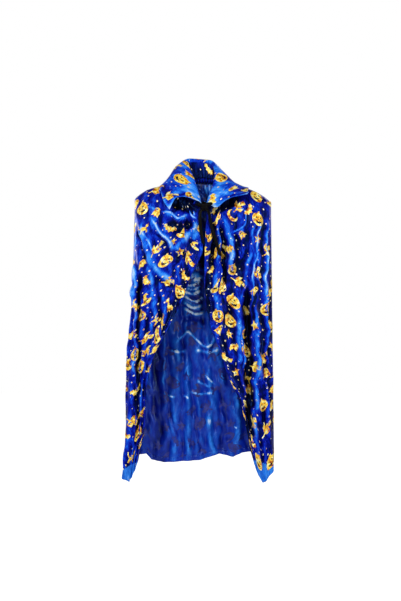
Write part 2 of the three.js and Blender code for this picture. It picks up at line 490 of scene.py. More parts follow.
@dataclass(frozen=True)
class Fold:
    """A crest or hollow that runs along a line of the cloth, with (x, z) corners seen from the front, and
    painted light along it.
    """

    line: Points
    width: float
    height: float
    # Painted light along the fold: a painted highlight where positive, painted shade where negative.
    tone: float

    def lie(self, x: np.ndarray, z: np.ndarray) -> np.ndarray:
        """How much of the fold each point has.

        Args:
            x: Points' places across, in millimetres.
            z: Points' heights.
        Returns:
            0 away from the fold and 1 on its line.
        """
        # Real folds wander, so their edges are drawn a little crooked.
        x, z = x + 3.2 * np.sin(
            z / 17.0 + x / 41.0
        ) + 1.6 * np.sin(z / 7.1 + 1.0), z + 3.0 * np.sin(x / 13.0 + z / 37.0)
        corners = curve_at(self.line, np.linspace(0, 1, 8 * len(self.line)))
        best = np.full(x.shape, 1e9)
        share = np.zeros(x.shape)
        count = len(corners) - 1
        for k in range(count):
            (x0, z0), (x1, z1) = corners[k], corners[k + 1]
            dx, dz = x1 - x0, z1 - z0
            f = np.clip(((x - x0) * dx + (z - z0) * dz) / max(dx * dx + dz * dz, 1e-9), 0, 1)
            away = np.hypot(x - x0 - f * dx, z - z0 - f * dz)
            nearer = away < best
            share = np.where(nearer, (k + f) / count, share)
            best = np.minimum(best, away)
        taper = smooth(np.minimum(share, 1 - share) * 5 + 0.12)
        # The fold's strength, in height and in painted light, is a little uneven along it.
        unevenness = 0.85 + 0.15 * np.sin(share * 17.0 + x / 9.0)
        return np.exp(-((best / self.width) ** 3.4)) * taper * unevenness


def crush(
    x: np.ndarray, z: np.ndarray, seed: int, across: tuple[float, float], drawn_out: float
) -> np.ndarray:
    """Small irregular undulations, drawn out down the cloth.

    Args:
        x: Points' places across, in millimetres.
        z: Points' heights.
        seed: Which pattern.
        across: Shortest and longest wave across, in millimetres.
        drawn_out: How many times longer the waves are down the cloth.
    Returns:
        Heights of about -1 to 1.
    """
    source = random.Random(seed)
    total = np.zeros(x.shape)
    for _ in range(16):
        wave = source.uniform(*across)
        lean = source.uniform(-1, 1)
        phase = source.uniform(0, 2 * math.pi)
        total += np.sin(
            2 * math.pi * (
                x / wave + lean * z / (wave * drawn_out)
            ) + phase + np.sin(z / (wave * 2.3) + phase)
        )
    return total / 4.0


@dataclass
class Skin:
    """A piece of cloth as a grid of points in millimetres, with distances measured along it."""

    points: np.ndarray
    # The cloth's tone with its painted light, for its face and for its reverse.
    crest: np.ndarray
    inner_crest: np.ndarray
    normals: np.ndarray = field(init=False)
    across: np.ndarray = field(init=False)
    down: np.ndarray = field(init=False)

    def __post_init__(self) -> None:
        """Work out the normals and the distances from the points."""
        along = np.gradient(self.points, axis=1)
        below = np.gradient(self.points, axis=0)
        normals = np.cross(below, along)
        length = np.linalg.norm(normals, axis=2, keepdims=True)
        self.normals = normals / np.maximum(length, 1e-9)
        step = np.linalg.norm(np.diff(self.points, axis=1), axis=2)
        self.across = np.hstack([np.zeros((len(step), 1)), np.cumsum(step, axis=1)])
        self.across -= self.across[:, -1:] / 2
        drop = np.linalg.norm(np.diff(self.points, axis=0), axis=2).mean(axis=1)
        self.down = np.concatenate([[0.0], np.cumsum(drop)])

    def area(self) -> float:
        """The cloth's area in square metres."""
        rows = np.diff(self.points, axis=0)[:, :-1]
        columns = np.diff(self.points, axis=1)[:-1]
        return float(np.linalg.norm(np.cross(rows, columns), axis=2).sum()) * MM * MM

    def find(self, x: float, z: float) -> tuple[float, float]:
        """The place on the cloth that lies at (x, z) seen from the front.

        Args:
            x: Millimetres across.
            z: Height in millimetres.
        Returns:
            Distance across and distance down.
        """
        away = np.hypot(self.points[:, :, 0] - x, self.points[:, :, 2] - z)
        away = away + 200 * (self.normals[:, :, 1] > 0.1)
        row, column = np.unravel_index(int(np.argmin(away)), away.shape)
        return float(self.across[row, column]), float(self.down[row])

    def place(self, s: float, t: float, lift: float) -> tuple[Vector, float]:
        """A point on the cloth.

        Args:
            s: Distance across, from the middle of the row.
            t: Distance down.
            lift: How far it stands off the cloth.
        Returns:
            The point in metres, and the tone with painted light of the cloth there.
        """
        row = float(np.interp(t, self.down, np.arange(len(self.down))))
        r = min(int(row), len(self.down) - 2)
        f = row - r
        line = lerp(self.across[r], self.across[r + 1], f)
        column = float(np.interp(s, line, np.arange(len(line))))
        c = min(int(column), len(line) - 2)
        g = column - c
        found = []
        for grid in (self.points, self.normals):
            upper = lerp(grid[r, c], grid[r, c + 1], g)
            lower = lerp(grid[r + 1, c], grid[r + 1, c + 1], g)
            found.append(lerp(upper, lower, f))
        return Vector((found[0] + found[1] * lift) * MM), float(self.crest[round(row), round(column)])


def new_object(name: str, bm: bmesh.types.BMesh, finishes: Sequence[Finish]) -> bpy.types.Object:
    """Make an object of a finished mesh.

    Args:
        name: The piece's name.
        bm: Its mesh, in metres, which is freed.
        finishes: Its finishes, in the order of its material slots.
    Returns:
        The object.
    """
    mesh = bpy.data.meshes.new(name)
    bm.to_mesh(mesh)
    bm.free()
    mesh.shade_smooth()
    for finish in finishes:
        mesh.materials.append(finish.material())
    made = bpy.data.objects.new(name, mesh)
    bpy.context.scene.collection.objects.link(made)
    log.info("%s: %d faces", name, len(mesh.polygons))
    return made


def sewn(
    name: str,
    skin: Skin,
    finishes: Sequence[Finish],
    thickness: float,
    turned: Callable[[float, float], bool] | None = None,
) -> bpy.types.Object:
    """Make the cloth piece of a skin, with thickness and a reverse.

    Args:
        name: The piece's name.
        skin: The cloth.
        finishes: Face finish, then reverse.
        thickness: The cloth's, in millimetres.
        turned: Optional test of (x, z) for faces whose reverse is turned out.
    Returns:
        The object.
    """
    rows, columns = skin.points.shape[:2]
    bm = bmesh.new()
    uv = bm.loops.layers.uv.new("pattern")
    bmesh.ops.create_grid(bm, x_segments=columns - 1, y_segments=rows - 1, size=1.0, calc_uvs=True)
    # The tone and painted light of both sides go on the points as attributes for the finishes.
    crest = bm.verts.layers.float.new("crest")
    inner = bm.verts.layers.float.new("inner_crest")
    spots = {}
    for vert in bm.verts:
        column = round((vert.co.x + 1) / 2 * (columns - 1))
        row = round((1 - vert.co.y) / 2 * (rows - 1))
        spots[vert] = (row, column)
    for vert, (row, column) in spots.items():
        vert.co = Vector(skin.points[row, column] * MM)
        vert[crest] = float(skin.crest[row, column])
        vert[inner] = float(skin.inner_crest[row, column])
    for face in bm.faces:
        for loop in face.loops:
            row, column = spots[loop.vert]
            loop[uv].uv = (skin.across[row, column] * MM, -skin.down[row] * MM)
        if turned is not None:
            middle = face.calc_center_median() / MM
            face.material_index = 1 if turned(middle.x, middle.z) else 0
    made = new_object(name, bm, finishes)
    solid = made.modifiers.new("thickness", "SOLIDIFY")
    solid.thickness = thickness * MM
    solid.offset = -1.0
    solid.material_offset = 1
    return made


# ---------------------------------------------------------------- print


class Motif(Enum):
    """The shapes of the print, as outlines of about 36 mm, and the parts cut out of them."""

    PUMPKIN = "pumpkin"
    BAT = "bat"
    HAT = "hat"
    RIDER = "rider"
    MOON = "moon"
    STAR = "star"
    CAT = "cat"
    GHOST = "ghost"
    DOT = "dot"


def arc(
    radius: float, start: float, stop: float, count: int, centre: tuple = (0.0, 0.0), squash: float = 1.0
) -> list:
    """Points on an arc.

    Args:
        radius: Its radius in millimetres.
        start: First angle in degrees.
        stop: Last angle in degrees.
        count: Number of points.
        centre: Its middle.
        squash: Height as a share of width.
    Returns:
        The points.
    """
    angles = np.radians(np.linspace(start, stop, count))
    return [(centre[0] + radius * math.cos(a), centre[1] + radius * squash * math.sin(a)) for a in angles]


def mirrored(half: list) -> list:
    """An outline from its right half.

    Args:
        half: Points from the top middle to the bottom middle.
    Returns:
        The whole outline.
    """
    return half + [(-x, y) for x, y in reversed(half[1:-1])]


def outlines(motif: Motif) -> list[tuple[list, int]]:
    """The outlines of a motif.

    Args:
        motif: Which one.
    Returns:
        Outlines with a layer each: 0 for foil and 1 for cloth that shows through.
    """
    if motif is Motif.PUMPKIN:
        shell = arc(17, 100, 440, 18, squash=0.94)
        stalk = [(-3, 15), (3, 15), (4, 21), (0, 20)]
        eyes = [[(-8.5, 2.5), (-3, 2.5), (-5, 7.5)], [(8.5, 2.5), (5, 7.5), (3, 2.5)]]
        nose = [(-1.6, -1.5), (1.6, -1.5), (0, 1)]
        grin = [
            (-9.5, -2.5),
            (-5, -5),
            (-2, -4),
            (0, -6),
            (2, -4),
            (5, -5),
            (9.5, -2.5),
            (5, -9),
            (0, -10),
            (-5, -9),
        ]
        return [(shell, 0), (stalk, 0), (eyes[0], 1), (eyes[1], 1), (nose, 1), (grin, 1)]
    if motif is Motif.BAT:
        half = [
            (0, 5), (3, 9), (4, 6), (8, 7), (13, 12), (20, 8), (19, 0), (14, 1), (11, -6), (6, -4), (0, -11)
        ]
        return [(mirrored(half), 0)]
    if motif is Motif.HAT:
        brim = arc(16, 0, 345, 16, centre=(0, -6), squash=0.36)
        cone = [(-9, -5), (9, -5), (5, 5), (9, 11), (14, 9), (11, 17), (2, 16), (-4, 7)]
        return [(brim, 0), (cone, 0), ([(-6.5, -3), (6.5, -3), (5.5, 0), (-5.5, 0)], 1)]
    if motif is Motif.RIDER:
        stick = [(-20, -7), (10, 1), (10, 4), (-20, -4)]
        brush = [(9, -1), (21, -1), (22, 9), (12, 9)]
        cloak = [(-11, -3), (-3, -13), (8, -10), (6, 2), (11, 10), (1, 8), (-6, 4)]
        hood = [(-10, 3), (0, 4), (2, 10), (5, 19), (-6, 13)]
        return [(stick, 0), (brush, 0), (cloak, 0), (hood, 0)]
    if motif is Motif.MOON:
        return [(arc(14, 60, 300, 13) + arc(11.0, 285, 75, 10, centre=(6.0, 0)), 0)]
    if motif is Motif.STAR:
        reach = [14 if k % 2 == 0 else 6.6 for k in range(10)]
        turn = [math.radians(90 + 36 * k) for k in range(10)]
        return [([(r * math.cos(a), r * math.sin(a)) for r, a in zip(reach, turn)], 0)]
    if motif is Motif.CAT:
        body = [
            (-12, -10), (-8, -10), (-6, -3), (3, -2), (6, -10), (10, -10), (9, 0), (5, 6), (-2, 9), (-9, 4)
        ]
        head = [(7, 3), (13, 3), (15, 8), (14, 13), (11, 10), (8, 12), (6, 8)]
        tail = [(-9, 3), (-12, 2), (-16, 9), (-14, 16), (-12, 15), (-13, 9)]
        return [(body, 0), (head, 0), (tail, 0)]
    if motif is Motif.GHOST:
        robe = arc(7, 0, 180, 7, centre=(0, 7)) + [
            (-9, -5), (-12, -12), (-5, -8), (0, -13), (4, -8), (11, -11), (9, -3)
        ]
        return [
            (robe, 0), (arc(1.6, 0, 288, 5, centre=(-2.6, 8)), 1), (arc(1.6, 0, 288, 5, centre=(2.6, 8)), 1)
        ]
    return [(arc(3.1, 0, 300, 6), 0)]


class Print:
    """The foil print: templates that are cut to small cells, so that each lies along the folds."""

    CELL = 5.5
    SCALE = 1.24
    FOIL_LIFT = 0.6
    INK_LIFT = 0.9

    def __init__(self, seed: int) -> None:
        """Make the templates.

        Args:
            seed: For the scatter of the small variations.
        """
        self.random = random.Random(seed)
        self.turned: Callable[[float], float] | None = None
        self.templates = {motif: self._template(motif) for motif in Motif}

    def _template(self, motif: Motif) -> bpy.types.Mesh:
        """A flat motif, cut into cells, with its height as its layer.

        Args:
            motif: Which one.
        Returns:
            The mesh in millimetres.
        """
        bm = bmesh.new()
        for outline, layer in outlines(motif):
            verts = [bm.verts.new((x, y, layer)) for x, y in outline]
            face = bm.faces.new(verts)
            face.material_index = layer
            face.normal_update()
            if face.normal.z < 0:
                face.normal_flip()
        if motif is not Motif.DOT:
            for axis in range(2):
                for step in range(-4, 5):
                    plane = [0.0, 0.0, 0.0]
                    plane[axis] = 1.0
                    spot = [step * self.CELL + 0.13 if k == axis else 0.0 for k in range(3)]
                    parts = list(bm.verts) + list(bm.edges) + list(bm.faces)
                    bmesh.ops.bisect_plane(bm, geom=parts, dist=1e-4, plane_co=spot, plane_no=plane)
        bmesh.ops.triangulate(bm, faces=[f for f in bm.faces if len(f.verts) > 4])
        mesh = bpy.data.meshes.new("motif_" + motif.value)
        bm.to_mesh(mesh)
        bm.free()
        return mesh

    def stamp(
        self,
        bm: bmesh.types.BMesh,
        motif: Motif,
        skin: Skin,
        spot: tuple[float, float],
        turn: float,
        size: float,
        under: float = 0.0,
    ) -> None:
        """Lay one motif on the cloth.

        Args:
            bm: The mesh that collects the print.
            motif: Which one.
            skin: The cloth that it lies on.
            spot: Distance across and down, in millimetres.
            turn: Its turn in degrees.
            size: Its scale.
            under: Where it shows through the cloth, the depth of its reverse; otherwise 0.
        """
        first = len(bm.verts)
        first_face = len(bm.faces)
        crest = bm.verts.layers.float["crest"]
        bm.from_mesh(self.templates[motif])
        bm.verts.ensure_lookup_table()
        bm.faces.ensure_lookup_table()
        c, s = math.cos(math.radians(turn)) * size, math.sin(math.radians(turn)) * size
        for vert in bm.verts[first:]:
            x, y, layer = vert.co
            lift = self.INK_LIFT if layer > 0.5 else self.FOIL_LIFT
            if under:
                lift = -under - lift
            # Each point of the print takes the painted light of the cloth under it.
            vert.co, vert[crest] = skin.place(spot[0] + c * x - s * y, spot[1] - s * x - c * y, lift)
        if under:
            for face in bm.faces[first_face:]:
                face.normal_flip()

    def scatter(self, skin: Skin, fixed: Sequence[tuple], pitch: float) -> list[tuple]:
        """Motifs over a whole panel, in a staggered repeat that keeps off the fixed ones.

        Args:
            skin: The cloth.
            fixed: Motifs with their places (motif, x, z, turn, size) seen from the front.
            pitch: The repeat in millimetres.
        Returns:
            Motifs with their places along the cloth.
        """
        laid = []
        for motif, x, z, turn, size in fixed:
            laid.append((motif, skin.find(x, z), turn, size * self.SCALE))
        order = [
            Motif.HAT,
            Motif.BAT,
            Motif.RIDER,
            Motif.PUMPKIN,
            Motif.STAR,
            Motif.CAT,
            Motif.RIDER,
            Motif.MOON,
            Motif.GHOST,
        ]
        rows = int(skin.down[-1] / (pitch * 0.8))
        for row in range(rows + 1):
            t = (row + 0.45) * pitch * 0.8
            if t > skin.down[-1] - 4:
                break
            index = int(np.argmin(abs(skin.down - t)))
            half = skin.across[index, -1]
            columns = int(2 * half / pitch) + 2
            for column in range(columns):
                s = -half + (column + 0.25 + 0.5 * (row % 2)) * pitch + self.random.uniform(-13, 13)
                spot = (s, t + self.random.uniform(-15, 15))
                if abs(s) > half + 4 or any(
                    math.dist(spot, place) < 0.66 * pitch for _, place, _, _ in laid
                ):
                    continue
                if self.bare(skin, spot):
                    continue
                motif = self.random.choice(order)
                upright = motif in (Motif.PUMPKIN, Motif.STAR)
                turn = self.random.uniform(-12, 12) if upright else self.random.uniform(-40, 40)
                laid.append((motif, spot, turn, self.random.uniform(0.86, 1.04) * self.SCALE))
        return laid

    def bare(self, skin: Skin, spot: tuple[float, float]) -> bool:
        """Tell whether a place is on a corner that is turned over, where only a few motifs show.

        Args:
            skin: The cloth.
            spot: Distance across and down, in millimetres.
        Returns:
            True where nothing is printed.
        """
        if self.turned is None:
            return False
        point = skin.place(spot[0], spot[1], 0.0)[0] / MM
        return point.z < self.turned(point.x) - 2 and self.random.random() > 0.25

    def dots(self, skin: Skin, laid: Sequence[tuple], pitch: float) -> list[tuple]:
        """Small dots between the motifs.

        Args:
            skin: The cloth.
            laid: The motifs already there.
            pitch: Mean distance between the dots.
        Returns:
            Dots with their places.
        """
        made = []
        t = pitch * 0.4
        while t < skin.down[-1] - 3:
            index = int(np.argmin(abs(skin.down - t)))
            half = skin.across[index, -1]
            s = -half + self.random.uniform(2, pitch)
            while s < half - 2:
                spot = (s, t + self.random.uniform(-9, 9))
                clear = all(math.dist(spot, place) > 19 * size for _, place, _, size in laid)
                if clear and 2 < spot[1] < skin.down[-1] - 3 and not self.bare(skin, spot):
                    made.append((Motif.DOT, spot, 0.0, self.random.choice((0.45, 0.6, 0.8, 1.0))))
                s += pitch * self.random.uniform(0.7, 1.3)
            t += pitch * 0.8
        return made

    def lay(
        self, name: str, skin: Skin, fixed: Sequence[tuple], pitch: float, ghost: float = 0.0
    ) -> list[bpy.types.Object]:
        """Print a panel.

        Args:
            name: The panel's name.
            skin: Its cloth.
            fixed: Motifs whose places are known.
            pitch: The repeat in millimetres.
            ghost: The cloth's thickness where the print shows on the reverse too, or 0.
        Returns:
            The print pieces.
        """
        laid = self.scatter(skin, fixed, pitch)
        spots = self.dots(skin, laid, pitch * 0.46)
        pieces = []
        jobs = [("_print", laid, [GOLD_FOIL, FACE_INK], 0.0), ("_dots", spots, [PALE_FOIL], 0.0)]
        if ghost:
            jobs.append(("_ghost_print", laid, [GHOST_INK, GHOST_INK], ghost))
        for suffix, stamps, finishes, under in jobs:
            bm = bmesh.new()
            bm.verts.layers.float.new("crest")
            for motif, spot, turn, size in stamps:
                self.stamp(bm, motif, skin, spot, turn, size, under)
            bmesh.ops.dissolve_degenerate(bm, dist=1e-5, edges=bm.edges)
            made = new_object(name + suffix, bm, finishes)
            pieces.append(made)
        return pieces


# ---------------------------------------------------------------- body of the cape


@dataclass
class Block:
    """The cape's pattern block: the lines that its panels share."""

    shoulder_half: float = 207.0
    shoulder_tip_z: float = -36.0
    crease_slope: dict = field(default_factory=lambda: {Side.LEFT: -0.0280, Side.RIGHT: 0.0120})
    ring_half_width: float = 58.0
    ring_half_depth: float = 54.0
    body_depth: float = 50.0
    rows: int = 230

    def ring(self, x: Number, is_back: bool) -> tuple[Number, Number]:
        """Depth and height of the neck edge at a distance across.

        Args:
            x: Millimetres across, inside the ring.
            is_back: For the back half.
        Returns:
            Depth from the middle plane, and height.
        """
        share = np.clip(np.abs(x) / self.ring_half_width, 0, 1)
        ahead = np.sqrt(1 - share**2)
        if is_back:
            return self.ring_half_depth * ahead, lerp(22, 38, ahead) - 6
        return self.ring_half_depth * ahead, lerp(22, -50, ahead**1.2) - lerp(6, 12, ahead)

    def top(self, x: Number, is_back: bool) -> tuple[Number, Number]:
        """Depth and height of the body's top line: round the neck, then out along the shoulder.

        Args:
            x: Millimetres across.
            is_back: For the back half.
        Returns:
            Depth from the middle plane, and height.
        """
        depth, height = self.ring(x, is_back)
        reach = (np.abs(x) - self.ring_half_width) / (self.shoulder_half - self.ring_half_width)
        is_left = np.asarray(x) < 0
        round_off = np.where(is_left, 3.8, 2.6)
        tip = self.shoulder_tip_z + np.where(is_left, 13, 4)
        shoulder = lerp(18, tip, np.clip(reach, 0, 1) ** round_off)
        inside = reach < 0
        return np.where(inside, depth, 0.0), np.where(inside, height, shoulder)

    def crease_x(self, side: Side, z: Number) -> Number:
        """Where the side fold runs at a height.

        Args:
            side: Which side.
            z: Height in millimetres.
        Returns:
            Its place across.
        """
        below = np.maximum(self.shoulder_tip_z - np.asarray(z, float), 0)
        return side.value * self.shoulder_half + self.crease_slope[side] * below

    def depth(self, a: Number, top_depth: Number, drop: Number) -> Number:
        """Depth of the cloth from the middle plane.

        Args:
            a: 0 in the middle of the panel and 1 at the side fold.
            top_depth: Depth of the top line above.
            drop: Distance below the top line.
        Returns:
            The depth.
        """
        corner = np.clip((a - 0.7) / 0.3, 0, 1)
        full = self.body_depth * np.sqrt(1 - corner**2)
        k = np.clip(drop / 130, 0, 1)
        return lerp(top_depth, full, np.sqrt(1 - (1 - k) ** 2))


@dataclass
class Panel:
    """One panel of the body, hung on the shared block."""

    block: Block
    name: str
    columns: int
    folds: Sequence[Fold]
    thickness: float = 1.0
    crushed: float = 1.9
    drawn_out: float = 4.0
    skin: Skin = field(init=False)

    def lay_folds(
        self,
        base: np.ndarray,
        free: np.ndarray,
        ripple: np.ndarray,
        tone: np.ndarray,
        facing: float,
        near: float = 1.0,
    ) -> Skin:
        """Raise the folds off a base surface.

        Args:
            base: The base points.
            free: 0 where the cloth is held and 1 where it is free to fold.
            ripple: Height of the small gathers.
            tone: Base tone of the cloth.
            facing: 1 where the folds face out of the cloth, -1 where they face its reverse.
            near: Size of the folds' pattern on this panel, where it lies further back than the fronts.
        Returns:
            The cloth.
        """
        flat = Skin(base, tone, tone)
        x, z = (base[:, :, 0] - AXIS[0]) * near + AXIS[0], (base[:, :, 2] - AXIS[1]) * near + AXIS[1]
        small = crush(x, z, len(self.folds), (18.0, 60.0), self.drawn_out)
        height = ripple + small * self.crushed
        # Painted light of the small gathers and undulations: lighter where they rise, darker where they
        # sink.
        painted_ripple_light = (ripple * 0.024 + small * 0.075) * facing
        # The folds' painted light: painted highlights along crests, painted shade and shadow in hollows.
        painted_fold_light = np.zeros(x.shape)
        for fold in self.folds:
            lie = fold.lie(x, z)
            height += lie * fold.height * facing
            painted_fold_light += lie * fold.tone
        points = base + flat.normals * (height * free)[:, :, None]
        # The folds' painted light is drawn full for the side that they face, and only faintly on the other.
        good, reverse = (1.0, 0.4) if facing > 0 else (0.25, 1.0)
        crest = np.clip(tone + (painted_ripple_light + painted_fold_light * good) * facing, 0, 1)
        inner = np.clip(tone - (painted_ripple_light + painted_fold_light * reverse) * facing, 0, 1)
        return Skin(points, crest, inner)


# Folds of each panel: line, width, height and tone. The tone is painted light: positive for painted
# highlights and glints along a crest, negative for painted shade in a hollow.
LEFT_FOLDS = (
    # Painted shadow cast by the left collar leaf on the chest.
    Fold(((-92, -48), (-66, -40), (-34, -46), (-14, -56)), 18, -8, -1.0),
    Fold(((-47, -37), (-34, -69), (-15, -84)), 2.2, 2, 0.8),
    Fold(((-34, -47), (-28, -60), (-22, -74)), 2.2, 2, 0.8),
    Fold(((-29, -88), (-24, -128), (-34, -152)), 7, 6, 0.34),
    Fold(((-186, -96), (-166, -150), (-150, -190)), 2.4, 2, 0.46),
    Fold(((-158, -84), (-136, -118), (-112, -142), (-92, -158)), 2.4, 2, 0.5),
    Fold(((-205, -60), (-206, -200), (-199, -330)), 2.4, 2, 0.3),
    Fold(((-170, -50), (-146, -58), (-128, -54)), 4, 3, 0.24),
    Fold(((-152, -100), (-128, -140), (-104, -164)), 5, -4, -0.22),
    Fold(((-196, -100), (-186, -170), (-164, -220)), 5, -4, -0.22),
    Fold(((-140, -262), (-106, -286), (-80, -292)), 5, -4, -0.24),
    Fold(((-96, -320), (-104, -380), (-124, -430)), 4, -4, -0.2),
    Fold(((-131, -300), (-130, -380), (-140, -460)), 5, -4, -0.22),
    Fold(((-66, -240), (-50, -262), (-58, -300)), 12, -6, -0.14),
    Fold(((-128, -60), (-98, -69), (-74, -87), (-36, -66)), 2.4, 2, 0.5),
    Fold(((-125, -64), (-97, -73), (-72, -91), (-34, -70)), 6, 9, 0.22),
    Fold(((-112, -92), (-74, -114), (-28, -92)), 13, -12, -0.34),
    Fold(
        (
            (-164, -78),
            (-145, -110),
            (-123, -132),
            (-97, -157),
            (-82, -172),
            (-48, -141),
            (-28, -108),
            (-20, -78),
        ),
        9,
        14,
        0.36,
    ),
    Fold(((-118, -178), (-84, -202), (-46, -184)), 14, -9, -0.14),
    Fold(
        ((-189, -75), (-180, -135), (-170, -180), (-152, -217), (-123, -250), (-97, -268), (-78, -276)),
        9,
        13,
        0.36,
    ),
    Fold(((-164, -232), (-154, -273), (-146, -336), (-146, -400)), 8, 8, 0.22),
    Fold(
        ((-215, -70), (-213, -180), (-207, -260), (-203, -340), (-201, -500), (-199, -650), (-208, -780)),
        6,
        8,
        0.26,
    ),
    Fold(((-192, -250), (-194, -330), (-196, -500), (-197, -650), (-200, -790)), 6, -14, -0.5),
    Fold(((-64, -240), (-52, -190), (-30, -150)), 10, -8, -0.1),
    Fold(((-120, -300), (-112, -380), (-122, -440)), 8, 7, 0.1),
    Fold(((-88, -290), (-84, -360), (-94, -400)), 9, -6, -0.12),
    Fold(((-158, -420), (-160, -520), (-164, -600)), 7, 6, 0.1),
)
# The same for the right front.
RIGHT_FOLDS = (
    # Painted shadow cast by the right collar leaf on the chest.
    Fold(((12, -60), (44, -48), (74, -38), (116, -28)), 16, -7, -1.0),
    Fold(((79, -55), (118, -54), (127, -92), (110, -122), (92, -124)), 2.2, 3, 0.5),
    Fold(((174, -72), (161, -179), (152, -258), (146, -336)), 2.6, 3, 0.46),
    Fold(((193, -84), (190, -210), (184, -390)), 3, 3, 0.3),
    Fold(((151, -285), (154, -340), (150, -400)), 5, -5, -0.4),
    Fold(((13, -230), (12, -320), (16, -390)), 5, -5, -0.34),
    Fold(((45, -90), (48, -160), (46, -230)), 4, 4, 0.24),
    Fold(((97, -70), (99, -120), (101, -160)), 4, -4, -0.24),
    Fold(((180, -90), (178, -190), (176, -300)), 4, -4, -0.24),
    Fold(((56, -260), (62, -350), (66, -430)), 5, -5, -0.24),
    Fold(((120, -390), (122, -470), (124, -560)), 3, 3, 0.22),
    Fold(((94, -500), (108, -560), (120, -620)), 4, -4, -0.22),
    Fold(((202, -300), (203, -480), (204, -700)), 4, -4, -0.2),
    Fold(((68, -68), (78, -130), (84, -170), (88, -215), (84, -262)), 9, 13, 0.36),
    Fold(((32, -228), (38, -300), (41, -390), (46, -462)), 8, 12, 0.36),
    Fold(((108, -380), (108, -450), (108, -525)), 7, 10, 0.32),
    Fold(((156, -300), (163, -400), (166, -500), (161, -600), (158, -700), (152, -790)), 7, 12, 0.3),
    Fold(((149, -150), (139, -195), (133, -243), (123, -290), (117, -360)), 6, 9, 0.26),
    Fold(((152, -70), (151, -180), (156, -300)), 3.5, 5, 0.16),
    Fold(((166, -80), (166, -200), (170, -320)), 3.5, 5, 0.18),
    Fold(((190, -70), (190, -200), (193, -420), (196, -700)), 4, 5, 0.2),
    Fold(((30, -70), (31, -180), (24, -240)), 6, -15, -0.42),
    Fold(((57, -100), (60, -170), (64, -232), (60, -300)), 6, -15, -0.42),
    Fold(((92, -122), (111, -134), (130, -106)), 5, 7, 0.2),
    Fold(((103, -172), (112, -206), (121, -174)), 4, 6, 0.24),
    Fold(((112, -142), (108, -230), (96, -300)), 14, -10, -0.24),
    Fold(((136, -270), (133, -360), (134, -450), (137, -600), (142, -770)), 10, -20, -0.42),
    Fold(((180, -330), (182, -480), (181, -640), (176, -780)), 8, -8, -0.16),
    Fold(((78, -320), (76, -400), (84, -480)), 9, -9, -0.2),
)
# The same for the back, drawn for its inside as seen between the fronts.
INNER_FOLDS = (
    # Painted shadow in the gap below the knot, between the front edges.
    Fold(((-8, -150), (-8, -200), (-16, -236)), 17, -5, -0.5),
    # Painted shade at the top of the inside, under the collar.
    Fold(((-30, -24), (0, -34), (30, -24)), 28, 0, -0.24),
    # Painted light over the upper middle of the inside.
    Fold(((-30, -262), (-30, -320), (-26, -390)), 36, 0, 0.16),
    Fold(((-46, -294), (-24, -297), (-2, -290)), 2, 3, 0.3),
    Fold(((-56, -327), (-20, -338), (4, -330)), 3, -3, -0.3),
    Fold(((-60, -345), (-24, -362), (4, -352)), 3, -3, -0.3),
    Fold(((-52, -310), (-22, -318), (2, -311)), 3, -3, -0.3),
    Fold(((-70, -440), (-56, -470), (-60, -500)), 6, -4, -0.14),
    Fold(((-110, -440), (-118, -520), (-112, -600)), 4, 3, 0.16),
    Fold(((40, -440), (52, -520), (56, -600)), 9, 4, 0.16),
    Fold(((-60, -640), (-56, -720), (-44, -800)), 5, 4, 0.14),
    Fold(((-26, -269), (-14, -272), (-4, -270)), 5, 4, 0.4),
    Fold(((-44, -262), (-24, -258), (2, -268)), 9, 8, 0.3),
    Fold(((-50, -281), (-28, -284), (-4, -279)), 4, 6, 0.34),
    Fold(((-60, -303), (-30, -309), (0, -302)), 4, 7, 0.36),
    Fold(((-62, -318), (-28, -332), (4, -320)), 4, 7, 0.38),
    Fold(((-64, -336), (-34, -351), (2, -342)), 4, 7, 0.36),
    Fold(((-56, -356), (-26, -370), (4, -364)), 4.5, 7, 0.4),
    Fold(((-66, -392), (-20, -384), (22, -396)), 9, -7, -0.2),
    Fold(
        (
            (-82, -460),
            (-66, -440),
            (-49, -427),
            (-26, -447),
            (-3, -467),
            (14, -466),
            (31, -450),
            (40, -436),
        ),
        3.6,
        7,
        0.42,
    ),
    Fold(((-108, -480), (-76, -486), (-44, -478)), 4, 6, 0.4),
    Fold(((-24, -482), (12, -486), (46, -476)), 5, 6, 0.34),
    Fold(((-60, -500), (-52, -560), (-48, -612)), 10, 6, 0.14),
    Fold(((-122, -610), (-104, -615), (-84, -618)), 3, 5, 0.36),
    Fold(((-60, -620), (-50, -622), (-41, -629)), 3, 4, 0.36),
    Fold(((-42, -606), (-4, -609), (34, -612)), 3, 5, 0.36),
    Fold(((-21, -566), (0, -582), (20, -595)), 2.6, 4, 0.32),
    Fold(((-2, -556), (18, -572), (36, -587)), 2.6, 4, 0.32),
    Fold(((-102, -640), (-88, -710), (-70, -805)), 5, -6, -0.2),
    Fold(((-25, -630), (-18, -710), (-10, -800)), 5, -6, -0.2),
    Fold(((2, -640), (18, -720), (30, -800)), 8, 5, 0.12),
    Fold(((60, -600), (66, -690), (52, -790)), 7, -6, -0.18),
    Fold(((92, -560), (102, -650), (104, -780)), 9, 6, 0.14),
    Fold(((-140, -420), (-142, -600), (-134, -800)), 12, -7, -0.16),
    Fold(((-120, -520), (-116, -660), (-104, -790)), 7, 5, 0.1),
    Fold(((92, -708), (101, -711)), 2.5, 3, 0.4),
    Fold(((6, -48), (-12, -10), (-26, 26)), 3.5, 4, 0.3),
    Fold(((6, -48), (-2, -8), (-8, 28)), 3, 4, 0.3),
    Fold(((6, -48), (10, -8), (12, 28)), 3, 4, 0.26),
    Fold(((6, -48), (20, -12), (30, 24)), 3.5, 4, 0.3),
    Fold(((-30, -30), (-38, 0), (-44, 16)), 4, -4, -0.2),
)


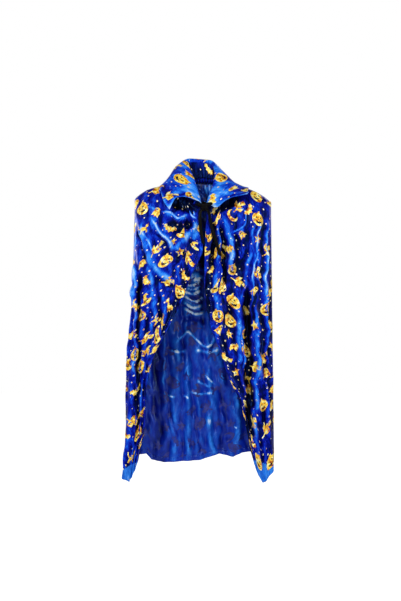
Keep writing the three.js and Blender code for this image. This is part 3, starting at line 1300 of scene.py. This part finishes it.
@dataclass
class FrontPanel(Panel):
    """A front panel, from the neck and shoulder to its pointed corner, with its facing."""

    side: Side = Side.LEFT
    edge: Points = ()
    hem: Points = ()
    rolled_out: float = 4.0
    turned_from: tuple[float, float] = (-800.0, -830.0)

    def build(self) -> None:
        """Hang the cloth from the block and raise its folds."""
        rows = self.block.rows
        u, v = np.meshgrid(np.linspace(0, 1, self.columns + 1), np.linspace(0, 1, rows + 1))
        a = 1 - u if self.side is Side.LEFT else u
        top_x = lerp(self.edge[0][1], self.side.value * self.block.shoulder_half, a)
        top_depth, top_z = self.block.top(top_x, False)
        z = lerp(top_z, np.interp(a, *zip(*self.hem)), v)
        crease = self.block.crease_x(self.side, z)
        run = lerp(read_down(self.edge, z), crease, a)
        # The side fold is round, and rolls out past its crease on the way down.
        roll = smooth((a - 0.62) / 0.28) * smooth((1 - a) / 0.1) * smooth((-60 - z) / 460)
        x = lerp(top_x, run, smooth((top_z - z) / 60)) + self.side.value * self.rolled_out * roll
        y = -self.block.depth(a, top_depth, top_z - z)
        base = np.stack([x, y, z], axis=2)
        held = smooth((1 - a) / 0.06) * smooth(v / 0.03)
        hang = smooth(v / 0.5)
        wave = np.sin(2 * math.pi * (4.2 * a + 0.35 * np.sin(4 * v))) * 3.2 * hang
        gather = np.sin(2 * math.pi * 22 * a) * 1.8 * (1 - smooth(v / 0.09)) * (a < 0.45)
        # The base tone, a little lighter on the left than on the right, with painted shade towards the front
        # edge lower down.
        tone = np.full(
            a.shape, 0.44 if self.side is Side.LEFT else 0.4
        ) - 0.1 * smooth((0.25 - a) / 0.25) * hang
        self.skin = self.lay_folds(base, held, wave + gather, tone, 1.0)
        # The turned-out corners show the reverse's own pale blue, set through its tone.
        heights = np.vectorize(self.turn_height)(x)
        self.skin.inner_crest[:] = np.where(
            z < heights + 4, np.maximum(self.skin.inner_crest, 0.72), self.skin.inner_crest
        )

    def strip(self, first: float, last: float, off: float) -> Skin:
        """A strip that lies behind the front edge.

        Args:
            first: Its start as a share of the panel, from the front edge.
            last: Its end.
            off: Its distance behind the panel.
        Returns:
            The strip's cloth.
        """
        count = self.columns
        low, high = round(first * count), round(last * count)
        cut = slice(count - high, count - low + 1) if self.side is Side.LEFT else slice(low, high + 1)
        points = self.skin.points[:, cut] - self.skin.normals[:, cut] * off
        # Its good side faces inwards, so its columns run the other way.
        return Skin(
            points[:, ::-1], self.skin.crest[:, cut][:, ::-1], self.skin.inner_crest[:, cut][:, ::-1]
        )

    def dress(self, printer: Print, fixed: Sequence[tuple]) -> None:
        """Make the pieces: cloth, facing, stitches and print.

        Args:
            printer: The print maker.
            fixed: Motifs whose places are known.
        """
        word = self.side.word
        cloth = sewn(
            self.name,
            self.skin,
            [PANNE_VELVET, KNIT_REVERSE, PANNE_VELVET],
            self.thickness,
            lambda x, z: z < self.turn_height(x),
        )
        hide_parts(word + "_front_yoke", word + "_front_drape")
        area = self.skin.area()
        facing = self.strip(0.0, 0.1, 1.9)
        turned = sewn(word + "_facing", facing, [KNIT_REVERSE, KNIT_REVERSE], 0.8)
        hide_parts(word + "_facing_upper", word + "_facing_lower")
        facing.area()
        printer.turned = self.turn_height
        stitches = stitch_row(
            word + "_facing_stitches", self.skin, 0.085 if self.side is Side.RIGHT else 0.915
        )
        for piece in [cloth, turned, stitches, *printer.lay(self.name, self.skin, fixed, FRONT_PITCH)]:
            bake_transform(piece, "cape", word + "_front", start=(0, 0, -0.15), end=(0, 0, -0.45))
        printer.turned = None

    def turn_height(self, x: float) -> float:
        """Height below which the corner shows its reverse.

        Args:
            x: Millimetres across.
        Returns:
            The height.
        """
        inner, outer = self.turned_from
        far = abs(self.block.crease_x(self.side, -800))
        return lerp(inner, outer, (abs(x) - (far - 60)) / 60)


@dataclass
class BackPanel(Panel):
    """The back panel, gathered into the neck, with its turned hem."""

    hem: Points = ()

    def build(self) -> None:
        """Hang the cloth from the block and raise its folds."""
        rows = self.block.rows
        # Columns run from the wearer's back as it is seen from behind, so +X comes first.
        u, v = np.meshgrid(np.linspace(1, -1, self.columns + 1), np.linspace(0, 1, rows + 1))
        a = np.abs(u)
        top_x = u * self.block.shoulder_half
        top_depth, top_z = self.block.top(top_x, True)
        foot = np.interp(u * 225, *zip(*self.hem))
        z = lerp(top_z, foot, v)
        crease = np.where(u < 0, -self.block.crease_x(Side.LEFT, z), self.block.crease_x(Side.RIGHT, z))
        x = u * crease
        y = self.block.depth(a, top_depth, top_z - z)
        base = np.stack([x, y, z], axis=2)
        held = smooth((1 - a) / 0.06) * smooth(v / 0.03)
        hang = smooth(v / 0.7)
        wave = np.sin(
            2 * math.pi * (4.5 * u + 0.4 * np.sin(7 * u + 1) + 0.2 * np.sin(3 * v + 2))
        ) * 3.4 * hang
        wave += np.sin(2 * math.pi * (9.7 * u + 0.25 * np.sin(5 * v))) * 0.9 * smooth(v / 0.3)
        gather = np.sin(2 * math.pi * 26 * u) * 2.0 * (1 - smooth(v / 0.12)) * (a < 0.4)
        # The base tone, with painted shade towards the sides.
        tone = np.full(a.shape, 0.5) - 0.12 * smooth((a - 0.45) / 0.2)
        self.skin = self.lay_folds(base, held, wave + gather, tone, -1.0, BACK_NEARNESS)
        # Painted light on the outside that follows the drape's waves: lighter on their crests, darker in
        # their hollows.
        self.skin.crest[:] = np.clip(self.skin.crest + 0.045 * wave, 0, 1)

    def band(self, height: float, off: float) -> Skin:
        """The turned hem on the inside, up from the lower edge.

        Args:
            height: Its height in millimetres.
            off: Its distance from the panel.
        Returns:
            The band's cloth.
        """
        count = max(3, int(np.searchsorted(self.skin.down[-1] - self.skin.down[::-1], height)))
        cut = slice(len(self.skin.down) - count, None)
        points = self.skin.points[cut] - self.skin.normals[cut] * off
        return Skin(points[:, ::-1], self.skin.crest[cut][:, ::-1], self.skin.inner_crest[cut][:, ::-1])

    def dress(self, printer: Print, fixed: Sequence[tuple]) -> None:
        """Make the pieces: cloth, hem and print.

        Args:
            printer: The print maker.
            fixed: Motifs whose places are known.
        """
        cloth = sewn(self.name, self.skin, [PANNE_VELVET, KNIT_REVERSE], self.thickness)
        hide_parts("back_panel")
        min(0.56, self.skin.area())
        hem = self.band(16.0, 1.9)
        turned = sewn("back_hem_band", hem, [KNIT_REVERSE, KNIT_REVERSE], 0.7)
        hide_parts("back_hem")
        min(0.0112, hem.area())
        printed = printer.lay(self.name, self.skin, fixed, BACK_PITCH, ghost=self.thickness)
        for piece in [cloth, turned, *printed]:
            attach(piece, "cape")


def stitch_row(name: str, skin: Skin, share: float, pitch: float = 7.0) -> bpy.types.Object:
    """A row of stitches that runs down a panel.

    Args:
        name: The piece's name.
        skin: The cloth.
        share: Where the row runs, as a share of the panel's columns.
        pitch: Stitch spacing in millimetres, drawn at twice the real one so that it shows.
    Returns:
        The stitches, as one piece.
    """
    bm = bmesh.new()
    column = round(share * (skin.points.shape[1] - 1))
    total = skin.down[-1]
    for k in range(int(total / pitch)):
        t = (k + 0.5) * pitch
        row = int(np.argmin(abs(skin.down - t)))
        s = float(skin.across[row, column])
        for vert in bmesh.ops.create_cube(bm, size=1.0)["verts"]:
            x, y, z = vert.co
            vert.co = skin.place(s + x * 0.9, t - y * pitch * 0.55, z * 0.5 + 0.1)[0]
    return new_object(name, bm, [BLUE_THREAD])


# ---------------------------------------------------------------- collar


@dataclass
class CollarHalf:
    """One half of the collar: the stand inside, the roll, and the fall that ends in a pointed leaf."""

    side: Side
    roll: Points
    outer: Points
    bow: Points = ((0, 0), (1, 0))
    columns: int = 84
    rows: int = 44
    ply_gap: float = 2.4
    puffed: float = 15.0

    def fall(self, t: np.ndarray, w: np.ndarray) -> np.ndarray:
        """Points on the fall.

        Args:
            t: 0 at the centre back and 1 at the knot.
            w: 0 at the roll line and 1 at the outer edge.
        Returns:
            The points.
        """
        roll, edge = curve_at(self.roll, t), curve_at(self.outer, t)
        away = edge - roll
        away[..., 2] = 0
        away /= np.maximum(np.linalg.norm(away, axis=-1, keepdims=True), 1e-9)
        # The cloth leaves the roll level, rounds over and then hangs.
        # Both halves have the same fullness where they meet at the centre back.
        full = lerp(CENTRE_FULLNESS, self.puffed, smooth(t / 0.35))
        puff = full * np.sin(np.pi * np.clip(w, 0, 1) ** 0.72) + 3 * np.sin(np.pi * np.clip(w, 0, 1) * 2)
        front = smooth((t - 0.7) / 0.3)
        puff = puff * (1 - 0.7 * front)
        points = lerp(roll, edge, w[..., None]) + away * puff[..., None] * 0.8
        points[..., 2] += puff * 0.9
        points[..., 2] += curve_at(self.bow, w)[..., 1] * front**2
        ripple = np.sin(2 * math.pi * (3.1 * t + 0.4 * w)) * 2.2 * w
        points += away * ripple[..., None]
        return points

    def build(self) -> Skin:
        """The fall with its lip down the inside of the stand.

        Returns:
            The cloth.
        """
        t, w = np.meshgrid(np.linspace(0, 1, self.columns + 1), np.linspace(-0.14, 1, self.rows + 1))
        points = self.fall(t, np.maximum(w, 0))
        inside = np.maximum(-w, 0)[..., None]
        inward = self.fall(t, np.full(t.shape, 0.02)) - self.fall(t, np.full(t.shape, 0.12))
        inward[..., 2] = 0
        inward /= np.maximum(np.linalg.norm(inward, axis=-1, keepdims=True), 1e-9)
        points += inward * np.minimum(inside * 60, 3.0)
        points[..., 2] -= inside[..., 0] * 90
        for _ in range(3):
            points[1:-1] = (points[:-2] + 2 * points[1:-1] + points[2:]) / 4
        # Painted light on the fall: a painted highlight along the roll and towards the front, painted shade
        # towards the outer edge, and random tone.
        light = 0.5 + 0.2 * np.exp(-(((w - 0.12) / 0.14) ** 2)) - 0.1 * smooth((w - 0.6) / 0.4)
        light += 0.1 * np.exp(-(((t - 0.86) / 0.1) ** 2)) + 0.05 * np.sin(9 * t + 4 * w)
        light += 0.07 * crush(t * 250, w * 140, 7, (24.0, 70.0), 1.4)
        # Painted highlights along the turned edges, which stand thicker.
        light += 0.3 * np.exp(-(((1 - w) / 0.05) ** 2)) + 0.3 * np.exp(-(((1 - t) / 0.025) ** 2))
        order = slice(None, None, -1) if self.side is Side.LEFT else slice(None)
        # Seen from outside, the right half runs from the centre back on the right round to the left.
        return Skin(points[:, order], light[:, order], light[:, order])

    def dress(self, printer: Print, fixed: Sequence[tuple]) -> None:
        """Make the upper collar, the under collar and the print.

        Args:
            printer: The print maker.
            fixed: Motifs whose places are known.
        """
        word = self.side.word
        skin = self.build()
        if skin.normals[self.rows // 2, self.columns // 2] @ np.array([self.side.value, 0, 1.0]) < 0:
            skin = Skin(skin.points[:, ::-1], skin.crest[:, ::-1], skin.inner_crest[:, ::-1])
        upper = sewn(word + "_upper_collar", skin, [PANNE_VELVET, PANNE_VELVET], 1.0)
        rows = slice(round(self.rows * 0.17), None)
        lower = skin.points[rows] - skin.normals[rows] * self.ply_gap
        # The under collar is painted darker, as painted shade beneath the fall.
        under_skin = Skin(lower[:, ::-1], skin.crest[rows][:, ::-1] * 0.7, skin.crest[rows][:, ::-1] * 0.7)
        under = sewn(word + "_under_collar", under_skin, [PANNE_VELVET, PANNE_VELVET], 0.8)
        names = [word + "_leaf_" + ply for ply in ("under", "interfacing", "upper")]
        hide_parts(names[2], names[1])
        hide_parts(names[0])
        for piece, cloth in ((upper, skin), (under, under_skin)):
            min(0.04, cloth.area())
        for piece in [upper, under, *printer.lay(word + "_collar", skin, fixed, COLLAR_PITCH)]:
            reach = self.side.value
            start, end = np.array([0.0, 0.0, 0.0]), np.array([0.6 * reach, -0.6, -0.5])
            unit = end / np.linalg.norm(end)
            start, end = unit * 0.045, unit * 0.118
            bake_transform(piece, "cape", word + "_leaf", start=tuple(start), end=tuple(end))


@dataclass
class NeckBand:
    """The ruched casing that the ribbon runs through, and the stand above it."""

    half_width: float = 46.0
    half_depth: float = 42.0
    rolls: dict = field(default_factory=dict)

    def ring(self, turn: float) -> Vector:
        """The casing's line.

        Args:
            turn: 0 at the centre back, pi at the front, negative on the left.
        Returns:
            The point in millimetres.
        """
        ahead = -math.cos(turn)
        height = lerp(22, -50, ahead**1.2) if ahead > 0 else lerp(22, 38, -ahead)
        return Vector((self.half_width * math.sin(turn), self.half_depth * math.cos(turn), height))

    def casing(self) -> bpy.types.Object:
        """Make the tunnel of cloth, crimped where the ribbon gathers it.

        Returns:
            The casing.
        """
        bm = bmesh.new()
        uv = bm.loops.layers.uv.new("pattern")
        around, sides = 260, 14
        bmesh.ops.create_grid(bm, x_segments=around, y_segments=sides, size=1.0, calc_uvs=True)
        crest = bm.verts.layers.float.new("crest")
        for face in bm.faces:
            for loop in face.loops:
                loop[uv].uv = (loop[uv].uv.x * 0.3, loop[uv].uv.y * 0.05)
        limit = math.pi - 0.12
        for vert in bm.verts:
            turn = vert.co.x * limit
            lap = -vert.co.y * math.pi
            middle = self.ring(turn)
            ahead = (self.ring(turn + 0.01) - self.ring(turn - 0.01)).normalized()
            out = Vector((middle.x, middle.y, 0)).normalized()
            up = ahead.cross(out).normalized()
            if up.z < 0:
                up = -up
            crimp = math.sin(turn * 31) * math.cos(lap) ** 2 + 0.5 * math.sin(turn * 53 + 1.0)
            wide = 4.0 + 0.9 * crimp
            tall = 7.6 + 0.7 * math.sin(turn * 31 + 0.6)
            vert.co = (middle + out * math.cos(lap) * wide + up * math.sin(lap) * tall) * MM
            # Painted shade: the casing is dark, with painted light on the crimps' ridges and painted shade
            # in their hollows.
            vert[crest] = 0.3 + 0.16 * crimp
        bmesh.ops.remove_doubles(bm, verts=bm.verts, dist=1e-5)
        bmesh.ops.holes_fill(bm, edges=[e for e in bm.edges if e.is_boundary], sides=0)
        bmesh.ops.recalc_face_normals(bm, faces=bm.faces)
        made = new_object("ruched_casing", bm, [PANNE_VELVET])
        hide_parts("neck_casing", "casing_ribbon")
        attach(made, "cape")
        return made

    def stand(self) -> Skin:
        """The stand, from the casing up to the roll line.

        Returns:
            Its cloth, facing the neck.
        """
        u, v = np.meshgrid(np.linspace(-1, 1, 161), np.linspace(0, 1, 19))
        points = np.zeros(u.shape + (3,))
        for index in np.ndindex(u.shape):
            side = Side.LEFT if u[index] < 0 else Side.RIGHT
            t = abs(u[index]) * 0.93
            low = np.array(self.ring(side.value * t * math.pi))
            high = curve_at(self.rolls[side], np.array(t))
            spread = np.array([low[0], low[1], 0.0])
            spread /= max(np.linalg.norm(spread), 1e-9)
            crimp = 1.3 * math.sin(u[index] * 90) * v[index] ** 2
            rise = high - low
            rise /= max(np.linalg.norm(rise), 1e-9)
            points[index] = lerp(high - rise * 2.5, low + rise * 7.0, v[index]) + spread * crimp
        # Painted shade, deeper towards the casing, with painted light on the crimps.
        light = 0.36 - 0.2 * v + 0.1 * np.sin(u * 90) * v
        return Skin(points, light, light)

    def dress(self, printer: Print) -> None:
        """Make the casing and the stand.

        Args:
            printer: The print maker.
        """
        self.casing()
        skin = self.stand()
        if skin.normals[5, 80][1] > 0:
            skin = Skin(skin.points[:, ::-1], skin.crest[:, ::-1], skin.inner_crest[:, ::-1])
        cloth = sewn("printed_stand", skin, [PANNE_VELVET, PANNE_VELVET], 1.2)
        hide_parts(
            "collar_stand", "collar_back_under", "collar_back_interfacing", "collar_back_upper"
        )
        min(0.0204, skin.area())
        for piece in [cloth, *printer.lay("stand", skin, [(Motif.BAT, 20, 70, -30, 0.6)], STAND_PITCH)]:
            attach(piece, "cape")


# ---------------------------------------------------------------- ribbon


@dataclass
class Ribbon:
    """The knot in front of the neck, and its two tails."""

    knot: Vector
    width: float = 10.0
    thickness: float = 0.9

    def wrap(self, bm: bmesh.types.BMesh, radii: Vector, band: float, tilt: float, centre: Vector) -> None:
        """Add one turn of ribbon, squashed in to a loop.

        Args:
            bm: The mesh that collects the knot.
            radii: Half sizes of the loop.
            band: Half width of the ribbon.
            tilt: Its turn about Y in degrees.
            centre: Its middle.
        """
        ball = bmesh.ops.create_uvsphere(bm, u_segments=32, v_segments=18, radius=1.0)["verts"]
        c, s = math.cos(math.radians(tilt)), math.sin(math.radians(tilt))
        for vert in ball:
            x, y, z = vert.co
            crease = 1 + 0.09 * math.sin(5 * math.atan2(z, y) + 4 * x) * (1 - x * x)
            flat = math.copysign(abs(x) ** 0.6, x) * band / radii.x
            px, py, pz = flat * radii.x, y * radii.y * crease, z * radii.z * crease
            vert.co = (centre + Vector((c * px - s * pz, py, s * px + c * pz))) * MM

    def build_knot(self) -> None:
        """Tie the knot of three turns and two short ends that go back to the casing."""
        bm = bmesh.new()
        self.wrap(bm, Vector((17, 9, 11)), 11, 0, self.knot)
        self.wrap(bm, Vector((10, 8.5, 15)), 6.5, 82, self.knot + Vector((-10, 2, 2)))
        self.wrap(bm, Vector((10, 8.5, 15)), 6.5, -74, self.knot + Vector((10, 2, 3)))
        self.wrap(bm, Vector((7, 7.5, 10)), 6, 25, self.knot + Vector((-5, 1, -7)))
        self.wrap(bm, Vector((7, 7.5, 10)), 6, -25, self.knot + Vector((7, 1, -7)))
        made = new_object("ribbon_tie", bm, [BLACK_SATIN])
        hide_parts("ribbon_knot")
        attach(made, "cape")

    def build_tail(self, side: Side, route: Points) -> None:
        """Hang one tail.

        Args:
            side: Which tail.
            route: Its middle line in millimetres.
        """
        line = curve_at(route, np.linspace(0, 1, 49))
        bm = bmesh.new()
        bmesh.ops.create_grid(bm, x_segments=6, y_segments=48, size=1.0)
        for vert in bm.verts:
            k = round((1 - vert.co.y) / 2 * 48)
            down = line[min(k + 1, 48)] - line[max(k - 1, 0)]
            down /= np.linalg.norm(down)
            turn = 0.35 * math.sin(k / 9.0 + side.value) + 0.2 * side.value
            wide = np.array([math.cos(turn), math.sin(turn), 0.0])
            wide -= down * (wide @ down)
            wide /= np.linalg.norm(wide)
            x = vert.co.x
            slant = 4.0 * x * max(0.0, (k - 44) / 4)
            cup = np.cross(wide, down) * 0.9 * (1 - x * x)
            vert.co = Vector((line[k] + wide * x * self.width / 2 + down * slant - cup) * MM)
        made = new_object(side.word + "_tail_ribbon", bm, [BLACK_SATIN])
        solid = made.modifiers.new("thickness", "SOLIDIFY")
        solid.thickness = self.thickness * MM
        solid.offset = 0.0
        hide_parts(side.word + "_ribbon_tail")
        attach(made, side.word + "_tail")


# ---------------------------------------------------------------- studio


@dataclass
class Studio:
    """Camera, pale floor and soft lights."""

    centre: Vector
    distance: float = 3.5
    view_height: float = 1.803

    def camera(self) -> None:
        """A level camera straight in front."""
        data = bpy.data.cameras.new("camera")
        data.sensor_width = 36.0
        data.sensor_fit = "AUTO"
        data.lens = 36.0 * self.distance / self.view_height
        made = bpy.data.objects.new("camera", data)
        made.location = self.centre + Vector((0, -self.distance, 0))
        made.rotation_euler = (math.radians(90), 0, 0)
        bpy.context.scene.collection.objects.link(made)
        bpy.context.scene.camera = made

    def light(self, name: str, place: tuple, size: tuple, power: float, tint: str = "FFFFFF") -> None:
        """One softbox aimed at the cape.

        Args:
            name: Its name.
            place: Where it stands, in metres.
            size: Its width and height in metres.
            power: Watts.
            tint: Its colour.
        """
        data = bpy.data.lights.new(name, "AREA")
        data.shape = "RECTANGLE"
        data.size, data.size_y = size
        data.energy = power
        data.color = linear(tint)[:3]
        made = bpy.data.objects.new(name, data)
        made.location = place
        made.rotation_euler = (self.centre - Vector(place)).to_track_quat("-Z", "Y").to_euler()
        bpy.context.scene.collection.objects.link(made)

    def surround(self) -> None:
        """A white room for the eye that gives the cape only part of its light, and a pale floor."""
        world = bpy.data.worlds.new("studio")
        world.use_nodes = True
        tree = world.node_tree
        back = tree.nodes["Background"]
        seen = add_node(tree, "ShaderNodeLightPath")
        level = add_node(
            tree,
            "ShaderNodeMapRange",
            {"To Min": 0.12, "To Max": 1.0},
            {"Value": seen.outputs["Is Camera Ray"]},
        )
        back.inputs["Color"].default_value = (1, 1, 1, 1)
        tree.links.new(level.outputs["Result"], back.inputs["Strength"])
        bpy.context.scene.world = world
        bm = bmesh.new()
        bmesh.ops.create_circle(bm, cap_ends=True, segments=96, radius=9.0)
        bmesh.ops.translate(bm, verts=bm.verts, vec=(0, 0, -1.32))
        mesh = bpy.data.meshes.new("floor")
        bm.to_mesh(mesh)
        bm.free()
        paint = bpy.data.materials.new("floor_paint")
        paint.use_nodes = True
        shader = paint.node_tree.nodes["Principled BSDF"]
        shader.inputs["Base Color"].default_value = linear("E8E8E8")
        shader.inputs["Roughness"].default_value = 0.9
        shader.inputs["Emission Color"].default_value = (1, 1, 1, 1)
        looked_at = add_node(paint.node_tree, "ShaderNodeLightPath")
        glow = add_node(
            paint.node_tree,
            "ShaderNodeMath",
            {"operation": "MULTIPLY", 1: 0.92},
            {0: looked_at.outputs["Is Camera Ray"]},
        )
        paint.node_tree.links.new(glow.outputs[0], shader.inputs["Emission Strength"])
        mesh.materials.append(paint)
        floor = bpy.data.objects.new("floor", mesh)
        bpy.context.scene.collection.objects.link(floor)

    def build(self) -> None:
        """Set everything up."""
        self.camera()
        self.surround()
        scene = bpy.context.scene
        scene.view_settings.view_transform = "Standard"
        self.light("key", (-1.7, -2.4, 1.3), (0.7, 1.5), 62)
        self.light("front_strip", (0.5, -2.9, 0.5), (0.3, 1.8), 22)
        self.light("side", (2.3, -1.2, 0.2), (0.4, 1.8), 26)
        self.light("back_key", (1.9, 2.6, 1.2), (0.8, 1.5), 62)
        self.light("back_side", (-2.3, 1.6, 0.3), (0.5, 1.8), 36)


# ---------------------------------------------------------------- the cape

FULLNESS = {Side.LEFT: 24.0, Side.RIGHT: 10.0}
ROLLED_OUT = {Side.LEFT: 16.0, Side.RIGHT: 4.0}
ROLLS = {
    Side.LEFT: (
        (-5, 50, 105), (-44, 42, 105), (-42, 15, 80), (-28, -10, 40), (-13, -32, -8), (-7, -50, -36)
    ),
    Side.RIGHT: ((-5, 50, 105), (27, 42, 99), (38, 15, 66), (33, -10, 28), (20, -32, -8), (12, -50, -36)),
}
LEAF_BOWS = {
    Side.LEFT: ((0, 0), (0.2, 9), (0.4, 18), (0.6, 24), (0.8, 26), (1, 0)),
    Side.RIGHT: ((0, 0), (0.2, -22), (0.4, -6), (0.6, 4), (0.8, 7), (1, 10)),
}
OUTERS = {
    Side.LEFT: (
        (0, 72, -22), (-62, 74, -20), (-118, 50, -4), (-132, 0, 15), (-124, -52, -20), (-100, -74, -60)
    ),
    Side.RIGHT: ((0, 72, -22), (62, 74, -20), (116, 50, -2), (138, 0, 12), (136, -48, -4), (132, -68, -22)),
}
TAILS = {
    Side.LEFT: (
        (-6, -61, -60), (-9, -62, -74), (-9, -66, -96), (-6, -67, -126), (-1, -66, -153), (0, -66, -163)
    ),
    Side.RIGHT: (
        (14, -61, -58.5), (19, -64, -74), (22, -66, -96), (34, -68, -139), (45, -67, -176), (51, -66, -198)
    ),
}
EDGES = {
    Side.LEFT: (
        (-50, -7),
        (-130, -3),
        (-180, -1),
        (-215, -14),
        (-262, -38),
        (-330, -63),
        (-438, -117),
        (-513, -153),
        (-606, -171),
        (-700, -173),
        (-790, -190),
        (-880, -206),
    ),
    Side.RIGHT: (
        (-50, 11),
        (-130, 7),
        (-220, 5),
        (-320, 5),
        (-360, 12),
        (-423, 27),
        (-480, 50),
        (-552, 73),
        (-585, 88),
        (-640, 112),
        (-702, 127),
        (-790, 143),
        (-880, 150),
    ),
}
FRONT_HEMS = {
    Side.LEFT: ((0.0, -812), (0.15, -838), (0.4, -862), (0.65, -876), (0.85, -868), (1.0, -838)),
    Side.RIGHT: (
        (0.0, -782), (0.1, -822), (0.25, -856), (0.45, -879), (0.6, -874), (0.85, -846), (1.0, -818)
    ),
}
BACK_HEM = (
    (-225, -838),
    (-212, -818),
    (-196, -806),
    (-172, -803),
    (-156, -822),
    (-118, -831),
    (-10, -824),
    (51, -804),
    (97, -814),
    (124, -801),
    (155, -797),
    (190, -802),
    (225, -818),
)

LEFT_PRINT = (
    (Motif.PUMPKIN, -184, -54, 5, 1.0),
    (Motif.GHOST, -140, -68, -30, 0.95),
    (Motif.DOT, -84, -52, 0, 0.6),
    (Motif.DOT, -52, -50, 0, 0.7),
    (Motif.DOT, -28, -66, 0, 0.5),
    (Motif.CAT, -176, -120, 10, 0.95),
    (Motif.HAT, -60, -128, -10, 1.0),
    (Motif.BAT, -100, -118, -20, 0.9),
    (Motif.RIDER, -139, -178, 60, 0.95),
    (Motif.PUMPKIN, -110, -213, 0, 1.0),
    (Motif.RIDER, -45, -205, -25, 1.1),
    (Motif.GHOST, -180, -222, 40, 0.9),
    (Motif.HAT, -30, -165, 0, 0.85),
    (Motif.STAR, -90, -155, 10, 0.7),
    (Motif.BAT, -56, -261, -30, 0.85),
    (Motif.RIDER, -105, -275, -20, 0.9),
    (Motif.BAT, -172, -275, -40, 0.85),
    (Motif.PUMPKIN, -71, -310, 10, 1.0),
    (Motif.HAT, -172, -330, 40, 0.9),
    (Motif.BAT, -104, -349, 15, 1.0),
    (Motif.STAR, -121, -393, -10, 1.1),
    (Motif.PUMPKIN, -139, -436, 5, 1.0),
    (Motif.RIDER, -145, -480, 30, 0.9),
)
RIGHT_PRINT = (
    (Motif.RIDER, 108, -52, 30, 0.9),
    (Motif.PUMPKIN, 167, -88, 5, 1.0),
    (Motif.BAT, 140, -60, 60, 0.8),
    (Motif.MOON, 88, -76, 40, 1.0),
    (Motif.RIDER, 33, -62, -20, 0.8),
    (Motif.HAT, 16, -140, 50, 0.9),
    (Motif.STAR, 165, -148, 0, 0.9),
    (Motif.GHOST, 118, -132, 60, 0.8),
    (Motif.BAT, 76, -178, 0, 1.0),
    (Motif.HAT, 10, -185, 30, 0.8),
    (Motif.GHOST, 27, -240, 0, 0.8),
    (Motif.PUMPKIN, 90, -240, -10, 0.8),
    (Motif.RIDER, 166, -255, 80, 0.9),
    (Motif.PUMPKIN, 54, -286, 0, 0.95),
    (Motif.RIDER, 108, -275, -40, 0.9),
    (Motif.PUMPKIN, 90, -335, 0, 1.0),
    (Motif.PUMPKIN, 192, -357, 0, 1.0),
    (Motif.GHOST, 130, -362, 20, 0.9),
    (Motif.STAR, 78, -432, 0, 0.9),
    (Motif.PUMPKIN, 84, -392, 0, 1.0),
    (Motif.BAT, 93, -472, 10, 0.9),
    (Motif.PUMPKIN, 180, -648, 0, 0.9),
)
COLLAR_PRINT = {
    Side.LEFT: (
        (Motif.PUMPKIN, -70, 36, 0, 1.0),
        (Motif.RIDER, -100, -18, 60, 1.05),
        (Motif.HAT, -36, -20, -40, 1.0),
        (Motif.MOON, -128, 8, 20, 0.9),
    ),
    Side.RIGHT: (
        (Motif.PUMPKIN, 56, 42, 10, 1.0),
        (Motif.GHOST, 92, 8, 40, 0.95),
        (Motif.PUMPKIN, 136, 2, 0, 0.85),
    ),
}


def main() -> None:
    """Build the cape in order: camera, tails, panels, collar, neck and knot."""
    Studio(centre=Vector((-0.0075, -0.05, -0.3315))).build()
    knot_low, knot_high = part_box("ribbon_knot")
    ribbon = Ribbon(knot=(knot_low + knot_high) / 2 / MM)
    for side in Side:
        ribbon.build_tail(side, TAILS[side])
    block = Block()
    printer = Print(seed=31)
    back = BackPanel(block, "back_cloth", 170, INNER_FOLDS, drawn_out=1.5, hem=BACK_HEM)
    back.build()
    back.dress(printer, ())
    for side, folds, known in ((Side.LEFT, LEFT_FOLDS, LEFT_PRINT), (Side.RIGHT, RIGHT_FOLDS, RIGHT_PRINT)):
        panel = FrontPanel(
            block,
            side.word + "_front_cloth",
            110,
            folds,
            side=side,
            edge=EDGES[side],
            hem=FRONT_HEMS[side],
            rolled_out=ROLLED_OUT[side],
            turned_from=(-800.0, -832.0) if side is Side.LEFT else (-812.0, -830.0),
        )
        panel.build()
        panel.dress(printer, known)
    NeckBand(rolls=ROLLS).dress(printer)
    for side in Side:
        collar = CollarHalf(side, ROLLS[side], OUTERS[side], LEAF_BOWS[side], puffed=FULLNESS[side])
        collar.dress(printer, COLLAR_PRINT[side])
    ribbon.build_knot()


if __name__ == "__main__":
    logging.basicConfig(level=logging.INFO, format="%(name)s: %(message)s")
    main()
